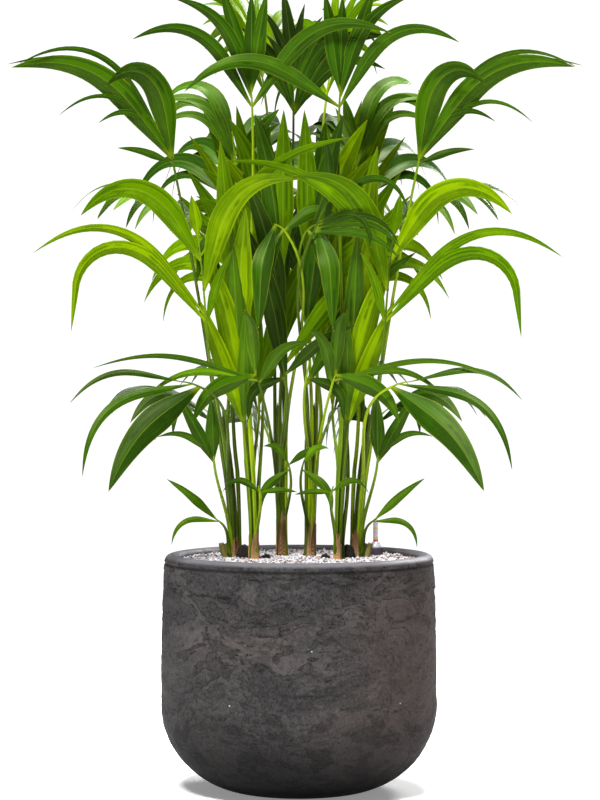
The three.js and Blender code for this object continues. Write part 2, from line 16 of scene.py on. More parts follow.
import bpy
import numpy as np
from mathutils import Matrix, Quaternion, Vector, noise
from mathutils.bvhtree import BVHTree


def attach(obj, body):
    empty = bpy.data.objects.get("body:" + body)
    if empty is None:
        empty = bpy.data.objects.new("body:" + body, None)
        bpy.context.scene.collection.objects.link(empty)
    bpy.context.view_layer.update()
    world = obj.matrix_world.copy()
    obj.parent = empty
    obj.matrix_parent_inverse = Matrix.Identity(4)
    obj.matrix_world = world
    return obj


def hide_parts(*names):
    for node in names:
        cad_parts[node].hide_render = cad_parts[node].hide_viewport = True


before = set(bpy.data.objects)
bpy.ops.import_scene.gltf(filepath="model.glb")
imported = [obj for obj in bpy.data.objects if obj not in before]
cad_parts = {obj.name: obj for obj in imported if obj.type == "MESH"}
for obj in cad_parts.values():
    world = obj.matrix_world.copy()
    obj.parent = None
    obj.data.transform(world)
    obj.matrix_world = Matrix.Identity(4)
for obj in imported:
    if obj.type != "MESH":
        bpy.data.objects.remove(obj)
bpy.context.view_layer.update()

LOG = logging.getLogger("palm")
MM = 0.001
UP = Vector((0, 0, 1))
LEFT, RIGHT = -1, 1
SIDES = (("left", LEFT), ("right", RIGHT))
CLUMP_X = -5.5  # the clump stands a little off the planter's axis
GRAVEL_TOP = 396.0
GAP = 0.3  # what the frame keeps free between neighbours
GAUGE_AT = (133.0, 55.0)
SHARPEST = math.radians(55)  # smooth shading breaks at edges that are sharper
BLACK, WHITE = (0.0, 0.0, 0.0, 1.0), (1.0, 1.0, 1.0, 1.0)
Colour = tuple[float, float, float, float]
Span = float | tuple[float, float]
Pairs = tuple[tuple[float, float], ...]
RachisFrame = tuple[Vector, Vector, Vector]


def paint(*shares: int) -> Colour:
    """The linear colour of a paint from its red, green and blue shares on a screen, each 0 to 255."""
    screen = [share / 255 for share in shares]
    return (*(s / 12.92 if s <= 0.04045 else ((s + 0.055) / 1.055) ** 2.4 for s in screen), 1.0)


def mix(a: float, b: float, t: float) -> float:
    """The value at a share of the way from one to the other."""
    return a + (b - a) * t


def within(span: Span, t: float) -> float:
    """The value at a share of a span, which may be one value all along."""
    return mix(*span, t) if isinstance(span, tuple) else span


def smooth(value: float, low: float, high: float) -> float:
    """A soft step from 0 to 1 between two values."""
    t = min(1.0, max(0.0, (value - low) / (high - low)))
    return t * t * (3 - 2 * t)


def level(heading: float) -> Vector:
    """The level direction at a heading, outwards at 0 and to the front at 90."""
    return Vector((math.cos(math.radians(heading)), -math.sin(math.radians(heading)), 0))


def aimed(heading: float, climb: float) -> Vector:
    """The direction at a heading that climbs by so many degrees."""
    return level(heading) * math.cos(math.radians(climb)) + UP * math.sin(math.radians(climb))


def square_to(v: Vector, axis: Vector) -> Vector:
    """The part of a vector that is square to a unit axis, at length one."""
    return (v - axis * v.dot(axis)).normalized()


def seeded(seed: int) -> Iterator[float]:
    """The frame's own repeatable stream of numbers from 0 to 1."""
    state = seed
    while True:
        state = (state * 1664525 + 1013904223) % 4294967296
        yield state / 4294967296


def operator(operation: str, reflected: bool = False) -> Callable[..., "Value"]:
    """A Math node's operation as a method of values, with its two sides exchanged for the reflected form."""

    def method(value: "Value", other: "Value | float" = 0.0) -> "Value":
        """The operation's result."""
        sides = (other, value) if reflected else (value, other)
        return value.bench.node("ShaderNodeMath", {"operation": operation}, dict(enumerate(sides)))

    return method


class Value:
    """A socket that takes part in expressions."""

    __add__ = __radd__ = operator("ADD")
    __mul__ = __rmul__ = operator("MULTIPLY")
    __sub__ = operator("SUBTRACT")
    __rsub__ = operator("SUBTRACT", reflected=True)
    least = operator("MINIMUM")
    sine = operator("SINE")
    size = operator("ABSOLUTE")

    def __init__(self, bench: "Bench", socket: bpy.types.NodeSocket) -> None:
        """Keeps the socket and the bench that it is on."""
        self.bench = bench
        self.socket = socket

    def step(self, low: float, high: float) -> "Value":
        """A soft step from 0 to 1 as the value goes from low to high."""
        inputs = {"Value": self, "From Min": low, "From Max": high, "To Min": 0.0, "To Max": 1.0}
        return self.bench.node("ShaderNodeMapRange", {"interpolation_type": "SMOOTHSTEP"}, inputs)


class Bench:
    """A material's node tree, on which a finish is put together."""

    def __init__(self, name: str) -> None:
        """Starts a material with a plain surface shader."""
        self.material = bpy.data.materials.new(name)
        self.material.use_nodes = True
        self.tree = self.material.node_tree
        self.shader = self.tree.nodes["Principled BSDF"]

    def node(
        self,
        kind: str,
        settings: Mapping[str, object] | None = None,
        inputs: Mapping[str | int, object] | None = None,
        output: str | int = 0,
    ) -> Value:
        """Adds any node.

        Args:
            kind: The node's type.
            settings: Its settings, set first.
            inputs: A value or a link for each socket that is named.
            output: The socket that is handed back.

        Returns:
            The node's output as a value.
        """
        made = self.tree.nodes.new(kind)
        for name, setting in (settings or {}).items():
            setattr(made, name, setting)
        for key, given in (inputs or {}).items():
            if isinstance(given, Value):
                self.tree.links.new(given.socket, made.inputs[key])
            else:
                made.inputs[key].default_value = given
        return Value(self, made.outputs[output])

    def blend(self, mask: Value | float, low: Value | Colour, high: Value | Colour) -> Value:
        """The colour between two colours, where the mask is 0 and where it is 1."""
        settings = {"data_type": "RGBA", "clamp_factor": True}
        return self.node("ShaderNodeMix", settings, {0: mask, 6: low, 7: high}, 2)

    def coated(self, colour: Value, *coats: tuple[Value, Value | Colour]) -> Value:
        """A colour under coats, each a mask and its colour, laid on one after the other."""
        for mask, coat in coats:
            colour = self.blend(mask, colour, coat)
        return colour

    def place(self) -> Value:
        """The point on the piece, in metres."""
        return self.node("ShaderNodeTexCoord", output="Object")

    def axis(self, place: Value, index: int) -> Value:
        """A point's share along an axis."""
        return self.node("ShaderNodeSeparateXYZ", None, {0: place}, index)

    def sheet(self) -> tuple[Value, Value]:
        """The place across and along a strip, each from 0 to 1."""
        uv = self.node("ShaderNodeUVMap", {"uv_map": Sheaf.UV})
        return self.axis(uv, 0), self.axis(uv, 1)

    def stretched(self, place: Value, scale: tuple[float, float, float]) -> Value:
        """A point with each axis scaled on its own."""
        return self.node("ShaderNodeVectorMath", {"operation": "MULTIPLY"}, {0: place, 1: scale})

    def joined(self, x: Value, y: Value, z: Value | float = 0.0) -> Value:
        """A point from three values."""
        return self.node("ShaderNodeCombineXYZ", None, {0: x, 1: y, 2: z})

    def grain(self, place: Value, scale: float | tuple, detail: float = 3.0, rough: float = 0.55) -> Value:
        """Soft random patches from 0 to 1, at one scale or at one for each axis."""
        if isinstance(scale, tuple):
            place, scale = self.stretched(place, scale), 1.0
        inputs = {"Vector": place, "Scale": scale, "Detail": detail, "Roughness": rough}
        return self.node("ShaderNodeTexNoise", None, inputs)

    def cells(self, place: Value, scale: float) -> Value:
        """The distance to the nearest of many scattered points."""
        return self.node("ShaderNodeTexVoronoi", None, {"Vector": place, "Scale": scale})

    def bump(self, height: Value, distance: float, strength: float) -> Value:
        """The surface's lean over a relief that is too fine to model."""
        inputs = {"Strength": strength, "Distance": distance, "Height": height}
        return self.node("ShaderNodeBump", None, inputs)

    def finish(self, varying: Mapping[str, Value], constant: Mapping[str, object]) -> bpy.types.Material:
        """Sets the surface shader.

        Args:
            varying: What changes over the surface, by socket.
            constant: What is the same all over, by socket.

        Returns:
            The finished material.
        """
        for name, value in varying.items():
            self.tree.links.new(value.socket, self.shader.inputs[name])
        for name, value in constant.items():
            self.shader.inputs[name].default_value = value
        return self.material


Look = tuple[dict[str, Value], dict[str, object]]


@dataclass(frozen=True)
class Finish:
    """What a surface looks like."""

    name: str

    def material(self) -> bpy.types.Material:
        """The material."""
        bench = Bench(self.name)
        return bench.finish(*self.look(bench))

    def look(self, b: Bench) -> Look:
        """What changes over the surface, and what is the same all over, by socket."""
        raise NotImplementedError


@dataclass(frozen=True)
class LeafFinish(Finish):
    """A leaflet's skin: light and deep bands along it, fine veins, a faint rib, a dry tip and some gloss."""

    deep: Colour
    fresh: Colour
    shaded_half: int = 0
    roughness: float = 0.44
    gloss: float = 0.28
    sheen: Colour = (0.8, 0.92, 0.3, 1.0)
    pleats: int = 11
    veins: int = 37

    def look(self, b: Bench) -> Look:
        """The leaflet's bands fade towards its tip, where they would be too fine."""
        across, along = b.sheet()
        off_rib = (across - 0.5).size() * 2.0
        waves = ((across * (count * math.pi)).sine() for count in (self.pleats, self.veins))
        pleats, veins = (wave * 0.5 + 0.5 for wave in waves)
        patches = b.grain(b.place(), 13.0).step(0.3, 0.72)
        bands = b.grain(b.joined(across * 7.0, along * 0.9, patches), 1.0, 1.0).step(0.38, 0.62)
        streaks = b.grain(b.joined(across * 26.0, along * 1.6, patches), 1.0, 2.0).step(0.32, 0.7)
        fade = 1.0 - along.step(0.4, 0.8)
        # The pleat stripes in the colour are painted light and shade of the folds, darker in the grooves; the
        # streaks and veins are the leaflet's own colour.
        lines = (streaks * 0.26 + pleats * 0.15 + veins * 0.07) * fade
        tone = patches * 0.22 + bands * 0.3 + lines + (1.0 - fade) * 0.2
        colour = b.blend(tone, self.deep, self.fresh)
        # Painted shade: one half of the folded leaflet is darkened, as the fold's shaded half.
        if self.shaded_half:
            half = across.step(0.48, 0.52)
            colour = b.blend((half if self.shaded_half > 0 else 1.0 - half) * 0.28, colour, self.deep)
        colour = b.coated(
            colour,
            ((1.0 - off_rib.step(0.01, 0.05)) * 0.14, paint(150, 168, 50)),
            (off_rib.step(0.95, 1.0) * 0.35, paint(150, 166, 30)),
            ((1.0 - along.step(0.0, 0.1)) * 0.4, paint(124, 140, 16)),
            (along.step(0.98, 0.996) * 0.7, paint(122, 92, 44)),
        )
        relief = (streaks * 0.35 + pleats * 0.2) * fade
        roughness = (1.0 - tone) * 0.12 + self.roughness
        return (
            {"Base Color": colour, "Roughness": roughness, "Normal": b.bump(relief, 0.0004, 0.12)},
            {"IOR": 1.35, "Specular IOR Level": self.gloss, "Specular Tint": self.sheen},
        )


@dataclass(frozen=True)
class StalkFinish(Finish):
    """The skin of sheaths, petioles and rachises: green with yellow edges and lengthwise stripes."""

    green: Colour
    edge: Colour
    roughness: float = 0.4
    sheen: Colour = (0.8, 0.9, 0.4, 1.0)

    def look(self, b: Bench) -> Look:
        """The foot of each limb is aged, and small flecks are strewn over it."""
        across, along = b.sheet()
        place = b.place()
        stripes = b.grain(b.joined(across * 60.0, along * 3.0), 1.0).step(0.34, 0.68)
        patches = b.grain(place, (30.0, 30.0, 9.0)).step(0.35, 0.7)
        sides = (across * (4.0 * math.pi)).sine().size().step(0.84, 1.0)
        aged = (1.0 - along.step(0.01, 0.08)) * patches
        fleck = 1.0 - b.cells(b.stretched(place, (1.0, 1.0, 0.4)), 260.0).step(0.1, 0.2)
        colour = b.coated(
            b.blend(stripes * 0.5 + patches * 0.25, self.green, self.edge),
            (sides * 0.5, self.edge),
            (aged * 0.7, paint(74, 50, 28)),
            (fleck * 0.3, paint(70, 66, 24)),
        )
        relief = b.bump(stripes + patches * 0.3, 0.0006, 0.7)
        return (
            {"Base Color": colour, "Roughness": stripes * 0.14 + self.roughness, "Normal": relief},
            {"Specular IOR Level": 0.28, "Specular Tint": self.sheen},
        )


@dataclass(frozen=True)
class FibreFinish(Finish):
    """Papery brown sheath remains with a crossed weave of fibres."""

    deep: Colour
    pale: Colour
    worn: Colour

    def look(self, b: Bench) -> Look:
        """The weave is plain at the foot, and gives way to loose hairs above."""
        across, along = b.sheet()
        rising = (across * 30.0 + along * 7.0).sine().size()
        falling = (across * 30.0 - along * 7.0).sine().size()
        weave = rising.least(falling).step(0.12, 0.5)
        patches = b.grain(b.place(), (60.0, 60.0, 26.0), 4.0).step(0.3, 0.7)
        hairs = b.grain(b.joined(across * 6.0, along * 30.0), 1.0, 4.0)
        upper = across.step(0.35, 0.6)
        colour = b.blend(patches * 0.2 + (1.0 - weave) * 0.75 * (1.0 - upper), self.pale, self.deep)
        colour = b.blend(upper * 0.6, colour, b.blend(hairs, self.deep, self.worn))
        relief = b.bump(weave + hairs, 0.0012, 0.9)
        return (
            {"Base Color": colour, "Roughness": patches * 0.12 + 0.78, "Normal": relief},
            {"Specular IOR Level": 0.25},
        )


@dataclass(frozen=True)
class StoneFinish(Finish):
    """Dark slate-like stone with ragged charcoal patches, pale and rusty bloom, hair cracks and a few specks,
    with painted shade at the foot, on the right side, in the groove and partly in the cracks, and a painted
    highlight on the lip.

    `layers` are the levels of a slow noise at which one slate layer ends and the next one begins. Heights are
    in metres.
    """

    shadow: Colour
    body: Colour
    pale: Colour
    layers: tuple[float, float, float] = (0.43, 0.522, 0.602)
    foot_shade_top: float = 0.2
    groove: float = 0.3885
    rim: tuple[float, float] = (0.3945, 0.4015)

    def look(self, b: Bench) -> Look:
        """The upper half is layered, and the lower half is mottled and darkens to painted shade at the foot.
        """
        place = b.place()
        aside, height = b.axis(place, 0), b.axis(place, 2)
        drift = b.node("ShaderNodeTexNoise", None, {"Vector": place, "Scale": 7.0}, 1)
        drift = b.stretched(drift, (0.16, 0.16, 0.1))
        bent = b.node("ShaderNodeVectorMath", {"operation": "ADD"}, {0: place, 1: drift})
        clouds = b.grain(place, (4.2, 4.2, 7.0), 6.0, 0.62)
        blotches = b.grain(bent, (8.0, 8.0, 19.0), 10.0, 0.7)
        strata = b.grain(bent, (7.0, 7.0, 60.0), 5.0, 0.62)
        layers = b.grain(bent, (6.0, 6.0, 13.0), 9.0, 0.6)
        rust = b.grain(place, (5.0, 5.0, 7.0), 4.0).step(0.5, 0.68)
        mottle = b.grain(bent, (17.0, 17.0, 34.0), 10.0, 0.78).step(0.49, 0.58)
        pores = b.grain(place, 120.0, 5.0, 0.7)
        grit = b.grain(place, 420.0, 2.0)
        fine = b.grain(place, 300.0, 2.0, 0.6).step(0.3, 0.7)
        tone = clouds.step(0.36, 0.64) * 0.38 + pores.step(0.36, 0.64) * 0.42 + grit.step(0.3, 0.7) * 0.2
        rough = blotches + pores * 0.3 + grit * 0.12
        high = height.step(0.13, 0.27)
        upper, middle, under = layers.step(0.43, 0.438), layers.step(0.52, 0.53), layers.step(0.6, 0.608)
        terraces = upper * 0.4 + middle * 0.35 + under * 0.25
        scales = (rough * 0.6 + pores * 0.4).step(0.5, 0.62) * middle
        low, mid, top = ((layers - end).size() for end in self.layers)
        edges = mid.least(top).least(low)
        crack = (1.0 - edges.step(0.002, 0.008)) * clouds.step(0.38, 0.5) * (high * 0.6 + 0.4)
        speck = 1.0 - b.cells(place, 17.0).step(0.02, 0.03)
        groove = 1.0 - (height - self.groove).size().step(0.0008, 0.004)
        rim = height.step(*self.rim)
        colour = b.coated(
            b.blend(tone, self.shadow, self.body),
            ((1.0 - rough.step(0.54, 0.66)) * 0.25, self.pale),
            (rust * 0.3, paint(64, 55, 51)),
            # painted shade: the right side is darker, partly a brown tint of the stone
            (aside.step(0.02, 0.22) * 0.5, paint(54, 40, 36)),
            ((scales * 0.46 + under * 0.2) * (high * 0.75 + 0.25), paint(16, 16, 17)),
            (mottle * (1.0 - high * 0.9) * 0.55, paint(10, 10, 10)),
            # the hair cracks, partly their own dark colour and partly painted shade under the layer steps
            # that they follow
            (crack * 0.85, paint(6, 6, 6)),
            (fine * 0.14, paint(98, 96, 96)),
            (speck * 0.7, paint(176, 172, 166)),
            # painted shade: darker towards the foot, near black at the bottom
            ((1.0 - height.step(0.0, self.foot_shade_top)) * 0.98, paint(1, 1, 1)),
            # painted shade: a dark line in the groove under the lip
            (groove * 0.7, paint(12, 12, 13)),
            # painted highlight: the lip is painted lighter where it catches the light
            (rim * 0.85, b.blend(clouds, paint(70, 70, 73), paint(108, 107, 112))),
        )
        steps = 1.1 - terraces * (high * 0.6 + 0.4) - mottle * 0.4 - crack * 0.5
        relief = (steps + blotches * 0.4 + strata * 0.15 + pores * 0.5 + grit * 0.3) * (1.0 - rim * 0.8)
        roughness = (clouds * 0.16 + pores * 0.12 + 0.6) * (1.0 - rim * 0.5)
        return (
            {"Base Color": colour, "Roughness": roughness, "Normal": b.bump(relief, 0.0024, 0.9)},
            {"Specular IOR Level": 0.06},
        )


@dataclass(frozen=True)
class GrainFinish(Finish):
    """Mineral granules: chalky, a little mottled and rough."""

    colour: Colour
    mottle: Colour
    scale: float = 700.0

    def look(self, b: Bench) -> Look:
        """Soft spots under fine pits."""
        place = b.place()
        spots = b.grain(place, self.scale)
        pits = b.grain(place, self.scale * 3.0, 2.0)
        colour = b.blend(spots.step(0.35, 0.65), self.colour, self.mottle)
        relief = b.bump(spots * 0.5 + pits * 0.5, 0.0005, 0.8)
        return (
            {"Base Color": colour, "Roughness": pits * 0.1 + 0.81, "Normal": relief},
            {"Specular IOR Level": 0.3},
        )


@dataclass(frozen=True)
class PlasticFinish(Finish):
    """Moulded plastic with faint mould grain and handling marks."""

    colour: Colour
    scuffed: Colour
    roughness: float
    coat: float = 0.0

    def look(self, b: Bench) -> Look:
        """Upright scuffs over an even grain."""
        place = b.place()
        scuffs = b.grain(place, (120.0, 120.0, 600.0), 4.0).step(0.5, 0.75)
        colour = b.blend(scuffs * 0.5, self.colour, self.scuffed)
        relief = b.bump(b.grain(place, 1600.0, 2.0), 0.00015, 0.5)
        return (
            {"Base Color": colour, "Roughness": scuffs * 0.18 + self.roughness, "Normal": relief},
            {"Coat Weight": self.coat, "Coat Roughness": 0.1},
        )


@dataclass(frozen=True)
class FloorFinish(Finish):
    """A plain pale floor with the faintest unevenness."""

    colour: Colour
    glow: float = 0.25

    def look(self, b: Bench) -> Look:
        """Wide clouds that hardly show."""
        cloud = b.grain(b.place(), 1.4, 2.0)
        colour = b.blend(cloud * 0.3, self.colour, paint(246, 246, 245))
        return (
            {"Base Color": colour, "Roughness": cloud * 0.1 + 0.8},
            {"Emission Color": WHITE, "Emission Strength": self.glow, "Specular IOR Level": 0.2},
        )


@dataclass(frozen=True)
class GlowFinish(Finish):
    """A pale surface that only glows."""

    glow: float

    def look(self, b: Bench) -> Look:
        """The same all over."""
        dark = {"Base Color": BLACK, "Specular IOR Level": 0.0}
        return {}, {**dark, "Emission Color": WHITE, "Emission Strength": self.glow}


class Sheaf:
    """Gathers strips and shells, in millimetres, and makes one mesh piece of them."""

    UV = "Strip"

    def __init__(self) -> None:
        """Starts empty."""
        self.points: list[np.ndarray] = []
        self.faces: list[list[int]] = []
        self.slots: list[np.ndarray] = []
        self.uvs: list[np.ndarray] = []
        self.count = 0

    def _add(self, points: np.ndarray, faces: np.ndarray, slots: np.ndarray, uvs: np.ndarray) -> None:
        """Adds faces of one size, with a slot for each and a place on the sheet for each corner."""
        self.faces.extend((faces + self.count).tolist())
        self.slots.append(slots)
        self.uvs.append(uvs.reshape(-1, 2))
        self.points.append(points)
        self.count += len(points)

    def loft(
        self,
        rings: np.ndarray,
        slots: Sequence[int] | int = 0,
        across: Sequence[float] | None = None,
        along: Sequence[float] | None = None,
        flip: bool = False,
        side: int | None = None,
        cap_slot: int | None = None,
    ) -> None:
        """Adds a closed form from rings of points, capped at both ends.

        Args:
            rings: The points, by ring and place in the ring.
            slots: The finish of each face round a ring, or one for all.
            across: The sheet's place of each corner round a ring, with the closing one.
            along: The sheet's place of each ring.
            flip: Whether the rings run the other way round.
            side: The side of the clump that a form of the outward side is put on.
            cap_slot: The finish of the caps.
        """
        if side is not None:
            rings, flip = placed(rings, side), flip != (side < 0)
        count, size = rings.shape[:2]
        here = np.arange(size)
        there = (here + 1) % size
        base = (np.arange(count - 1) * size)[:, None]
        faces = np.stack([base + here, base + there, base + there + size, base + here + size], axis=-1)
        u = np.linspace(0, 1, size + 1) if across is None else np.asarray(across)
        v = np.linspace(0, 1, count) if along is None else np.asarray(along)
        uvs = np.empty((count - 1, size, 4, 2))
        uvs[..., 0] = np.stack([u[:-1], u[1:], u[1:], u[:-1]], axis=-1)
        uvs[..., 1] = np.stack([v[:-1], v[:-1], v[1:], v[1:]], axis=-1)[:, None]
        faces, uvs = faces.reshape(-1, 4), uvs.reshape(-1, 4, 2)
        if flip:
            faces, uvs = faces[:, ::-1], uvs[:, ::-1]
        ring_slots = np.full(size, slots) if isinstance(slots, int) else np.asarray(slots)
        self._add(rings.reshape(-1, 3), faces, np.tile(ring_slots, count - 1), uvs)
        start = self.count - count * size
        for ring, turned in ((0, not flip), (count - 1, flip)):
            cap = [start + ring * size + i for i in range(size)]
            self.faces.append(cap[::-1] if turned else cap)
            self.slots.append(np.array([ring_slots[0] if cap_slot is None else cap_slot]))
            self.uvs.append(np.tile([[0.5, v[ring]]], (size, 1)))

    def copies(self, shapes: np.ndarray, faces: np.ndarray, slots: np.ndarray) -> None:
        """Adds many small forms with the same faces.

        Args:
            shapes: The points, by copy and point.
            faces: The faces of one.
            slots: The finish of each copy.
        """
        count, size = shapes.shape[:2]
        every = (faces[None] + (np.arange(count) * size)[:, None, None]).reshape(-1, faces.shape[1])
        uvs = np.zeros((len(every), faces.shape[1], 2))
        self._add(shapes.reshape(-1, 3), every, np.repeat(slots, len(faces)), uvs)

    def make(self, name: str, *finishes: Finish, soft: bool = True) -> bpy.types.Object:
        """Makes the piece.

        Args:
            name: The piece's name.
            finishes: Its finishes, by slot.
            soft: Whether its faces are shaded as one smooth surface.

        Returns:
            The piece, riding on the frame's one body.
        """
        mesh = bpy.data.meshes.new(name)
        mesh.from_pydata((np.concatenate(self.points) * MM).tolist(), [], self.faces)
        mesh.uv_layers.new(name=self.UV).data.foreach_set("uv", np.concatenate(self.uvs).ravel())
        mesh.polygons.foreach_set("material_index", np.concatenate(self.slots).astype(np.int32))
        mesh.polygons.foreach_set("use_smooth", np.full(len(mesh.polygons), soft))
        for finish in finishes:
            mesh.materials.append(finish.material())
        mesh.update()
        if soft:
            mesh.set_sharp_from_angle(angle=SHARPEST)
        piece = bpy.data.objects.new(name, mesh)
        bpy.context.scene.collection.objects.link(piece)
        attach(piece, "root")
        LOG.info("%s: %d triangles", name, sum(len(f) - 2 for f in self.faces))
        return piece


def round_turns(sides: int) -> np.ndarray:
    """The turn of each point round a ring."""
    return np.arange(sides) / sides * 2 * math.pi


def level_ring(middle: Sequence[float], radius: float | np.ndarray, turns: np.ndarray) -> np.ndarray:
    """A level ring of points, with one radius or its own at each turn."""
    flat = np.zeros_like(turns)
    return np.array(middle) + np.stack([radius * np.cos(turns), radius * np.sin(turns), flat], axis=1)


def placed(points: np.ndarray, side: int) -> np.ndarray:
    """Points of the outward side, put in their place on the left or the right."""
    moved = points.copy()
    moved[..., 0] = CLUMP_X + side * points[..., 0]
    return moved


def tube(
    line: Sequence[Vector], sizes: Sequence[tuple[float, float]], facing: Vector, sides: int
) -> np.ndarray:
    """The rings of a limb with an oval section along a line.

    Args:
        line: The middle of each ring, on the outward side.
        sizes: Each ring's half width, and its half depth in the direction that it faces.
        facing: The direction that the first ring's flat side faces.
        sides: The points of a ring.

    Returns:
        The points, by ring and place in the ring.
    """
    rings = np.empty((len(line), sides, 3))
    turns = round_turns(sides)
    for k, (middle, (half, depth)) in enumerate(zip(line, sizes)):
        along = (line[min(len(line) - 1, k + 1)] - line[max(0, k - 1)]).normalized()
        facing = square_to(facing, along)
        wide = along.cross(facing)
        oval = np.outer(half * np.cos(turns), wide) + np.outer(depth * np.sin(turns), facing)
        rings[k] = np.array(middle) + oval
    return rings


def curve(a: Vector, b: Vector, c: Vector, d: Vector, t: float) -> Vector:
    """The point at a share of a cubic curve, drawn by its ends and by two points that pull it."""
    r = 1 - t
    return a * r**3 + b * (3 * r * r * t) + c * (3 * r * t * t) + d * t**3


class Tone(Enum):
    """How light a frond is."""

    BRIGHT = "bright"
    MID = "mid"
    DARK = "dark"


@dataclass(frozen=True)
class Row:
    """Leaflets on one side of a rachis, from the lowest to the highest, with two values where they differ.

    `at` is their place on the rachis as a share of its length; `spread` and `droop` are degrees. `tone` is
    the row's own, where it isn't the frond's.
    """

    hand: int
    count: int
    at: Span
    spread: Span
    length: Span
    width: Span
    droop: Span
    tone: Tone | None = None


@dataclass(frozen=True)
class Leaf:
    """One leaflet as it is meant to grow, before it gives way to what stands already."""

    hand: int
    at: float
    spread: float
    length: float
    width: float
    droop: float
    twist: float
    tone: Tone | None = None


def both(*sizes: object) -> tuple[Row, Row]:
    """The same leaflets on both sides of a rachis."""
    return Row(RIGHT, *sizes), Row(LEFT, *sizes)


ARCHING = (
    Row(RIGHT, 3, (0.1, 1), (38, 20), (300, 250), (38, 42), (108, 90)),
    Row(LEFT, 3, (0.05, 0.95), (38, 20), (300, 250), (38, 42), (108, 90)),
)
UPRIGHT = (
    Row(RIGHT, 3, (0.05, 1), (17, 6), (320, 280), (50, 44), (24, 14)),
    Row(LEFT, 3, (0, 0.95), (17, 6), (320, 280), (50, 44), (24, 14)),
)
HANGING = (
    Row(RIGHT, 2, (0.08, 0.4), (58, 26), (258, 290), (54, 19), (34, 75)),
    Row(LEFT, 1, 0.9, 10, 206, 14, 60),
)


@dataclass(frozen=True)
class Frond:
    """One frond of a mirrored pair, or of one side alone.

    `foot` is the foot of its blade: outwards from the clump's middle, back, and up. `rise` is where its
    petiole leaves the stem, as a share of the stem's height. Headings turn from straight outwards (0) to the
    front (90).
    `between` gives how far aside from each leaflet narrower ones stand, in degrees.
    """

    name: str
    stem: int
    rise: float
    foot: tuple[float, float, float]
    heading: float
    climb: float
    arch: float
    face: float
    rachis: float
    tone: Tone
    rows: tuple[Row, ...]
    only: str = ""
    between: tuple[float, ...] = ()


